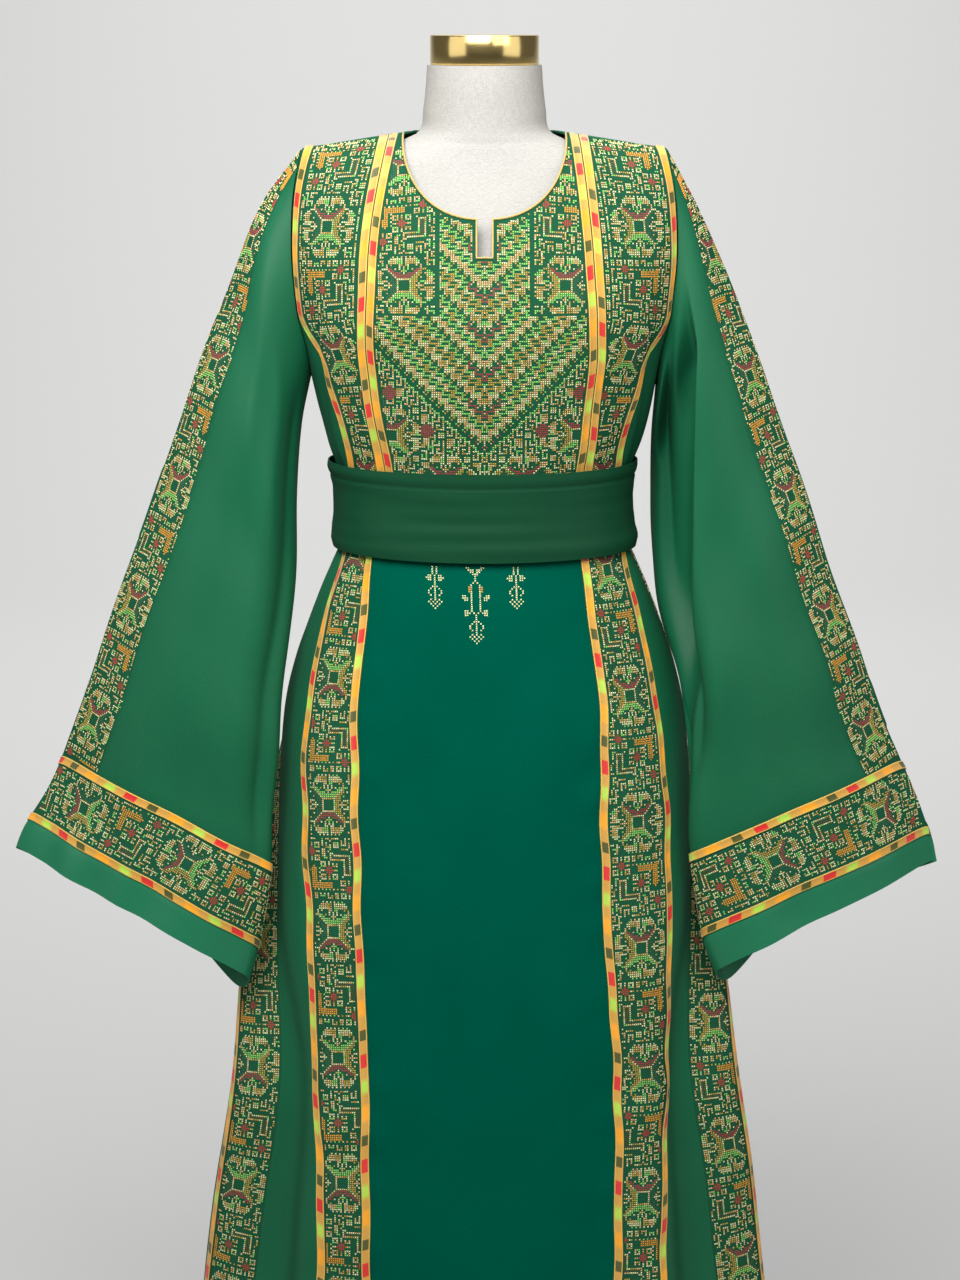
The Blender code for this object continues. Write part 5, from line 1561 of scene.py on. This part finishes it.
PENDANTS = ((-19, SHORT_PENDANT), (0, LONG_PENDANT), (19, SHORT_PENDANT))  # stitches from the middle
ROWS_BEHIND_BELT, PENDANTS_HALF = 23, 28
PENDANTS_CHART = np.full((len(LONG_PENDANT), 2 * PENDANTS_HALF), FREE)
for middle, pendant in PENDANTS:
    stamp(PENDANTS_CHART, letters(pendant), len(pendant) // 2, PENDANTS_HALF + middle)


def pendant_thread(i, j):
    """Threads on the skirt's centre panel, rows counted up from the hem."""
    top = int(made["skirt_front_panel"]["cut"][1] / STITCH) - ROWS_BEHIND_BELT
    row, column = top - j, i + PENDANTS_HALF
    rows, columns = PENDANTS_CHART.shape
    on_chart = (row >= 0) & (row < rows) & (column >= 0) & (column < columns)
    return np.where(on_chart, PENDANTS_CHART[row % rows, column % columns], BARE)


lay_stitches("pendant_stitches", made["skirt_front_panel"], pendant_thread, room=(0.0, 0.0))
print("stitches in the pendants:", stitch_counts["pendant_stitches"])

# %% [markdown]
# ## The dress form and its stand
# The form is a padded torso with no arms or head, covered in off-white cloth whose threads are uneven,
# so short slubs show in it. Its neck ends in a polished brass cap. It is lofted through its sections,
# and stands on a steel pole and a round base.

# %% Form
FORM = table(
    "height half_width front_depth back_depth",
    (0.840, 0.172, 0.108, 0.110),
    (0.900, 0.178, 0.112, 0.113),
    (0.980, 0.158, 0.102, 0.098),
    (1.040, 0.134, 0.090, 0.082),
    (1.100, 0.126, 0.086, 0.077),
    (1.160, 0.138, 0.094, 0.080),
    (1.230, 0.152, 0.112, 0.086),
    (1.290, 0.166, 0.116, 0.092),
    (1.345, 0.172, 0.100, 0.091),
    (1.385, 0.168, 0.083, 0.084),
    (1.410, 0.156, 0.071, 0.076),
    (1.427, 0.134, 0.064, 0.068),
    (1.438, 0.104, 0.0605, 0.0635),
    (1.447, 0.0770, 0.0585, 0.0605),
    (1.456, 0.0620, 0.0570, 0.0585),
    (1.475, 0.0585, 0.0560, 0.0570),
    (1.496, 0.0560, 0.0560, 0.0560),
    (1.517, 0.0545, 0.0545, 0.0545),
)
NECK_TOP_Z, CAP_TOP_Z, CAP_RADIUS = 1.517, 1.545, 0.0517
POLE_RADIUS, FORM_BOTTOM_Z, BASE_RADIUS, BASE_THICK = 0.014, 0.840, 0.165, 0.014
NECK_SEAM_Z, NECK_SEAM_TILT, NECK_SEAM_DEEP = 1.452, 0.006, 0.0009


def slub_look():
    """Off-white cloth with uneven threads both ways."""
    look = Look("form_cloth")
    place = look.add("TexCoord", "Object")
    up, across = (
        look.noise(look.add("Mapping", "Vector", Scale=stretch, Vector=place), 1.0, Detail=3)
        for stretch in ((260, 260, 1900), (1500, 1500, 170))
    )
    threads = look.maths("MULTIPLY", up, across)
    colour = look.ramp(threads, (0.12, (0.33, 0.318, 0.292)), (0.36, (0.425, 0.413, 0.388)))
    look.shader(Roughness=0.85, Base_Color=colour)
    look.relief(threads, 0.5, 0.0004)
    return look.material


def form_points():
    """Rings of the torso and neck, with a fine seam where the neck is sewn on."""
    body, neck = np.linspace(FORM_BOTTOM_Z, 1.40, 57), np.linspace(1.405, NECK_TOP_Z, 46)
    rings = np.concatenate([body, neck])[:, None]
    turn = np.linspace(0, 2 * math.pi, 97)
    seam = -NECK_SEAM_DEEP * hill(rings - (NECK_SEAM_Z - NECK_SEAM_TILT * np.cos(turn)), 0.0022)
    wide = read(FORM, "half_width", rings) + seam
    deep = read_either(np.cos(turn) > 0, FORM, "front_depth", "back_depth", rings) + seam
    return np.stack([wide * np.sin(turn), -deep * np.cos(turn), rings + 0 * turn], -1)


torso = grid_cloth("torso", form_points(), slub_look(), thick=0)
bm = bmesh.new()
bm.from_mesh(torso.data)
bmesh.ops.holes_fill(bm, edges=[edge for edge in bm.edges if edge.is_boundary], sides=0)
bm.to_mesh(torso.data)
bm.free()
stands_for(torso, "dress_form")
print("the form has", len(torso.data.polygons), "faces")

# %% [markdown]
# ## Cap, pole and base
# Turned parts are spun: a profile of a few points is drawn beside the axis and turned round it once.

# %% Turned parts
def metal_look(name, colour, roughness, metallic, scratch):
    """Metal or paint with fine turned lines."""
    look = Look(name)
    place = look.add("TexCoord", "Object")
    ends = {"To_Min": roughness * 0.7, "To_Max": roughness * 1.4}
    smeared = look.add("MapRange", "Result", Value=look.noise(place, 30, Detail=4), **ends)
    look.shader(Metallic=metallic, Base_Color=(*colour, 1), Roughness=smeared)
    look.relief(look.noise(place, 700), scratch, 0.0001)
    return look.material


def turned(node, profile, look, slot, steps=64):
    """A part turned from a profile of (radius, height), in place of its solid."""
    bm = bmesh.new()
    line = [bm.verts.new((radius, 0, height)) for radius, height in profile]
    edges = [bm.edges.new(pair) for pair in zip(line, line[1:])]
    once = {"axis": (0, 0, 1), "cent": (0, 0, 0), "angle": 2 * math.pi, "steps": steps, "use_merge": True}
    bmesh.ops.spin(bm, geom=line + edges, **once)
    bmesh.ops.remove_doubles(bm, verts=bm.verts, dist=1e-6)
    bmesh.ops.recalc_face_normals(bm, faces=bm.faces)
    for edge in bm.edges:
        edge.smooth = edge.calc_face_angle(0) < math.radians(35)
    stands_for(as_object(node + "_turned", bm, look), node)


low, high = NECK_TOP_Z + SEAM_GAP, CAP_TOP_Z
turned("neck_cap", (
    (0, low), (CAP_RADIUS - 0.0004, low), (CAP_RADIUS, low + 0.0006), (CAP_RADIUS, high - 0.0016),
    (CAP_RADIUS - 0.0005, high - 0.0005), (CAP_RADIUS - 0.0016, high), (0.030, high), (0, high),
), metal_look("polished_brass", (0.86, 0.64, 0.25), 0.17, 1.0, 0.02), "gold", 96)
low, high = BASE_THICK + SEAM_GAP, FORM_BOTTOM_Z - SEAM_GAP
turned("stand_pole", (
    (0, low), (POLE_RADIUS, low), (POLE_RADIUS, high), (0, high),
), metal_look("bright_steel", (0.60, 0.60, 0.61), 0.22, 1.0, 0.05), "pole_steel")
turned("stand_base", (
    (0, 0), (BASE_RADIUS - 0.002, 0), (BASE_RADIUS, 0.002), (BASE_RADIUS, BASE_THICK - 0.004),
    (BASE_RADIUS - 0.0012, BASE_THICK - 0.0012), (BASE_RADIUS - 0.004, BASE_THICK),
    (0.03, BASE_THICK), (0, BASE_THICK),
), metal_look("base_paint", (0.70, 0.69, 0.67), 0.35, 0.0, 0.10), "base_steel", 96)
print("the cap is", round(CAP_TOP_Z - NECK_TOP_Z, 4), "m high and the base", 2 * BASE_RADIUS, "m wide")

# %% [markdown]
# ## Every panel's cut size
# Each panel's record holds the flat size of what shows of it, and the ribbons and stitches that lie on it.
# Its width, length and area are printed here.

for node, laid in made.items():
    width, length, area = (round(size, 4) for size in laid["cut"])
    area = min(area, math.floor(width * length * 1e4) / 1e4)
    print(node, "is cut", width, "by", length, "m, area", area)

# %% [markdown]
# ## Light
# A large lamp in front and above gives the satin its soft highlights, and a weaker one fills the wearer's
# left. A low lamp on each side opens the shadows under the sleeves. One lamp lights the shoulders from
# over the back, one lights the backdrop, and a dim, pale room lifts what is left.

# %% Lamps and the room
def lamp(name, power, size, at, turn):
    """A wide, soft lamp."""
    light = bpy.data.lights.new(name, "AREA")
    light.energy, light.size = power, size
    holder = bpy.data.objects.new(name, light)
    bpy.context.scene.collection.objects.link(holder)
    holder.location = at
    holder.rotation_euler = [math.radians(angle) for angle in turn]


LAMPS = (  # name, power, size, place, turn in degrees
    ("window", 78, 1.4, (-0.35, -1.40, 2.62), (72, 0, -11)),
    ("fill", 22, 1.8, (1.5, -2.1, 2.7), (64, 0, 34)),
    ("side_right", 8, 1.6, (-1.9, -1.1, 1.75), (90, 0, -60)),
    ("side_left", 8, 1.6, (1.9, -1.1, 1.75), (90, 0, 60)),
    ("top", 36, 2.0, (0.0, 0.6, 3.2), (-8, 0, 0)),
    ("backdrop", 430, 5.0, (0.0, 4.2, 5.0), (36, 0, 0)),
)
for row in LAMPS:
    lamp(*row)
room = bpy.data.worlds.new("room")
room.use_nodes = True
background = room.node_tree.nodes["Background"]
background.inputs["Color"].default_value = (0.86, 0.87, 0.88, 1)
background.inputs["Strength"].default_value = 0.14
bpy.context.scene.world = room
bpy.context.scene.view_settings.view_transform = "Standard"
print("lamps:", [row[0] for row in LAMPS])

# %% [markdown]
# ## Floor and backdrop
# The floor is one plain sheet that bends up behind the dress and goes on as the backdrop, so no corner
# shows. Its profile is drawn from the side and drawn out sideways once.

# %% Floor and backdrop
HALF, BEND_STARTS, BEND, WALL_TOP, DROP = 8.0, 5.0, 3, 7.0, 0.0005  # DROP keeps it just under the base
bends = np.radians(np.arange(6, 91, 6))
bend = [(BEND_STARTS + BEND * math.sin(a), BEND - BEND * math.cos(a)) for a in bends]
bm = bmesh.new()
line = [
    bm.verts.new((-HALF, y, z - DROP))
    for y, z in [(-HALF, 0.0), (BEND_STARTS, 0.0), *bend, (BEND_STARTS + BEND, WALL_TOP)]
]
edges = [bm.edges.new(pair) for pair in zip(line, line[1:])]
grown = bmesh.ops.extrude_edge_only(bm, edges=edges)["geom"]
far_side = [item for item in grown if isinstance(item, bmesh.types.BMVert)]
bmesh.ops.translate(bm, verts=far_side, vec=(2 * HALF, 0, 0))
bmesh.ops.recalc_face_normals(bm, faces=bm.faces)
floor_look = Look("pale_floor")
floor_look.shader(Base_Color=(0.45, 0.45, 0.445, 1), Roughness=0.8)
as_object("floor_sweep", bm, floor_look.material, ride=False)
print("the floor is", 2 * HALF, "m wide")
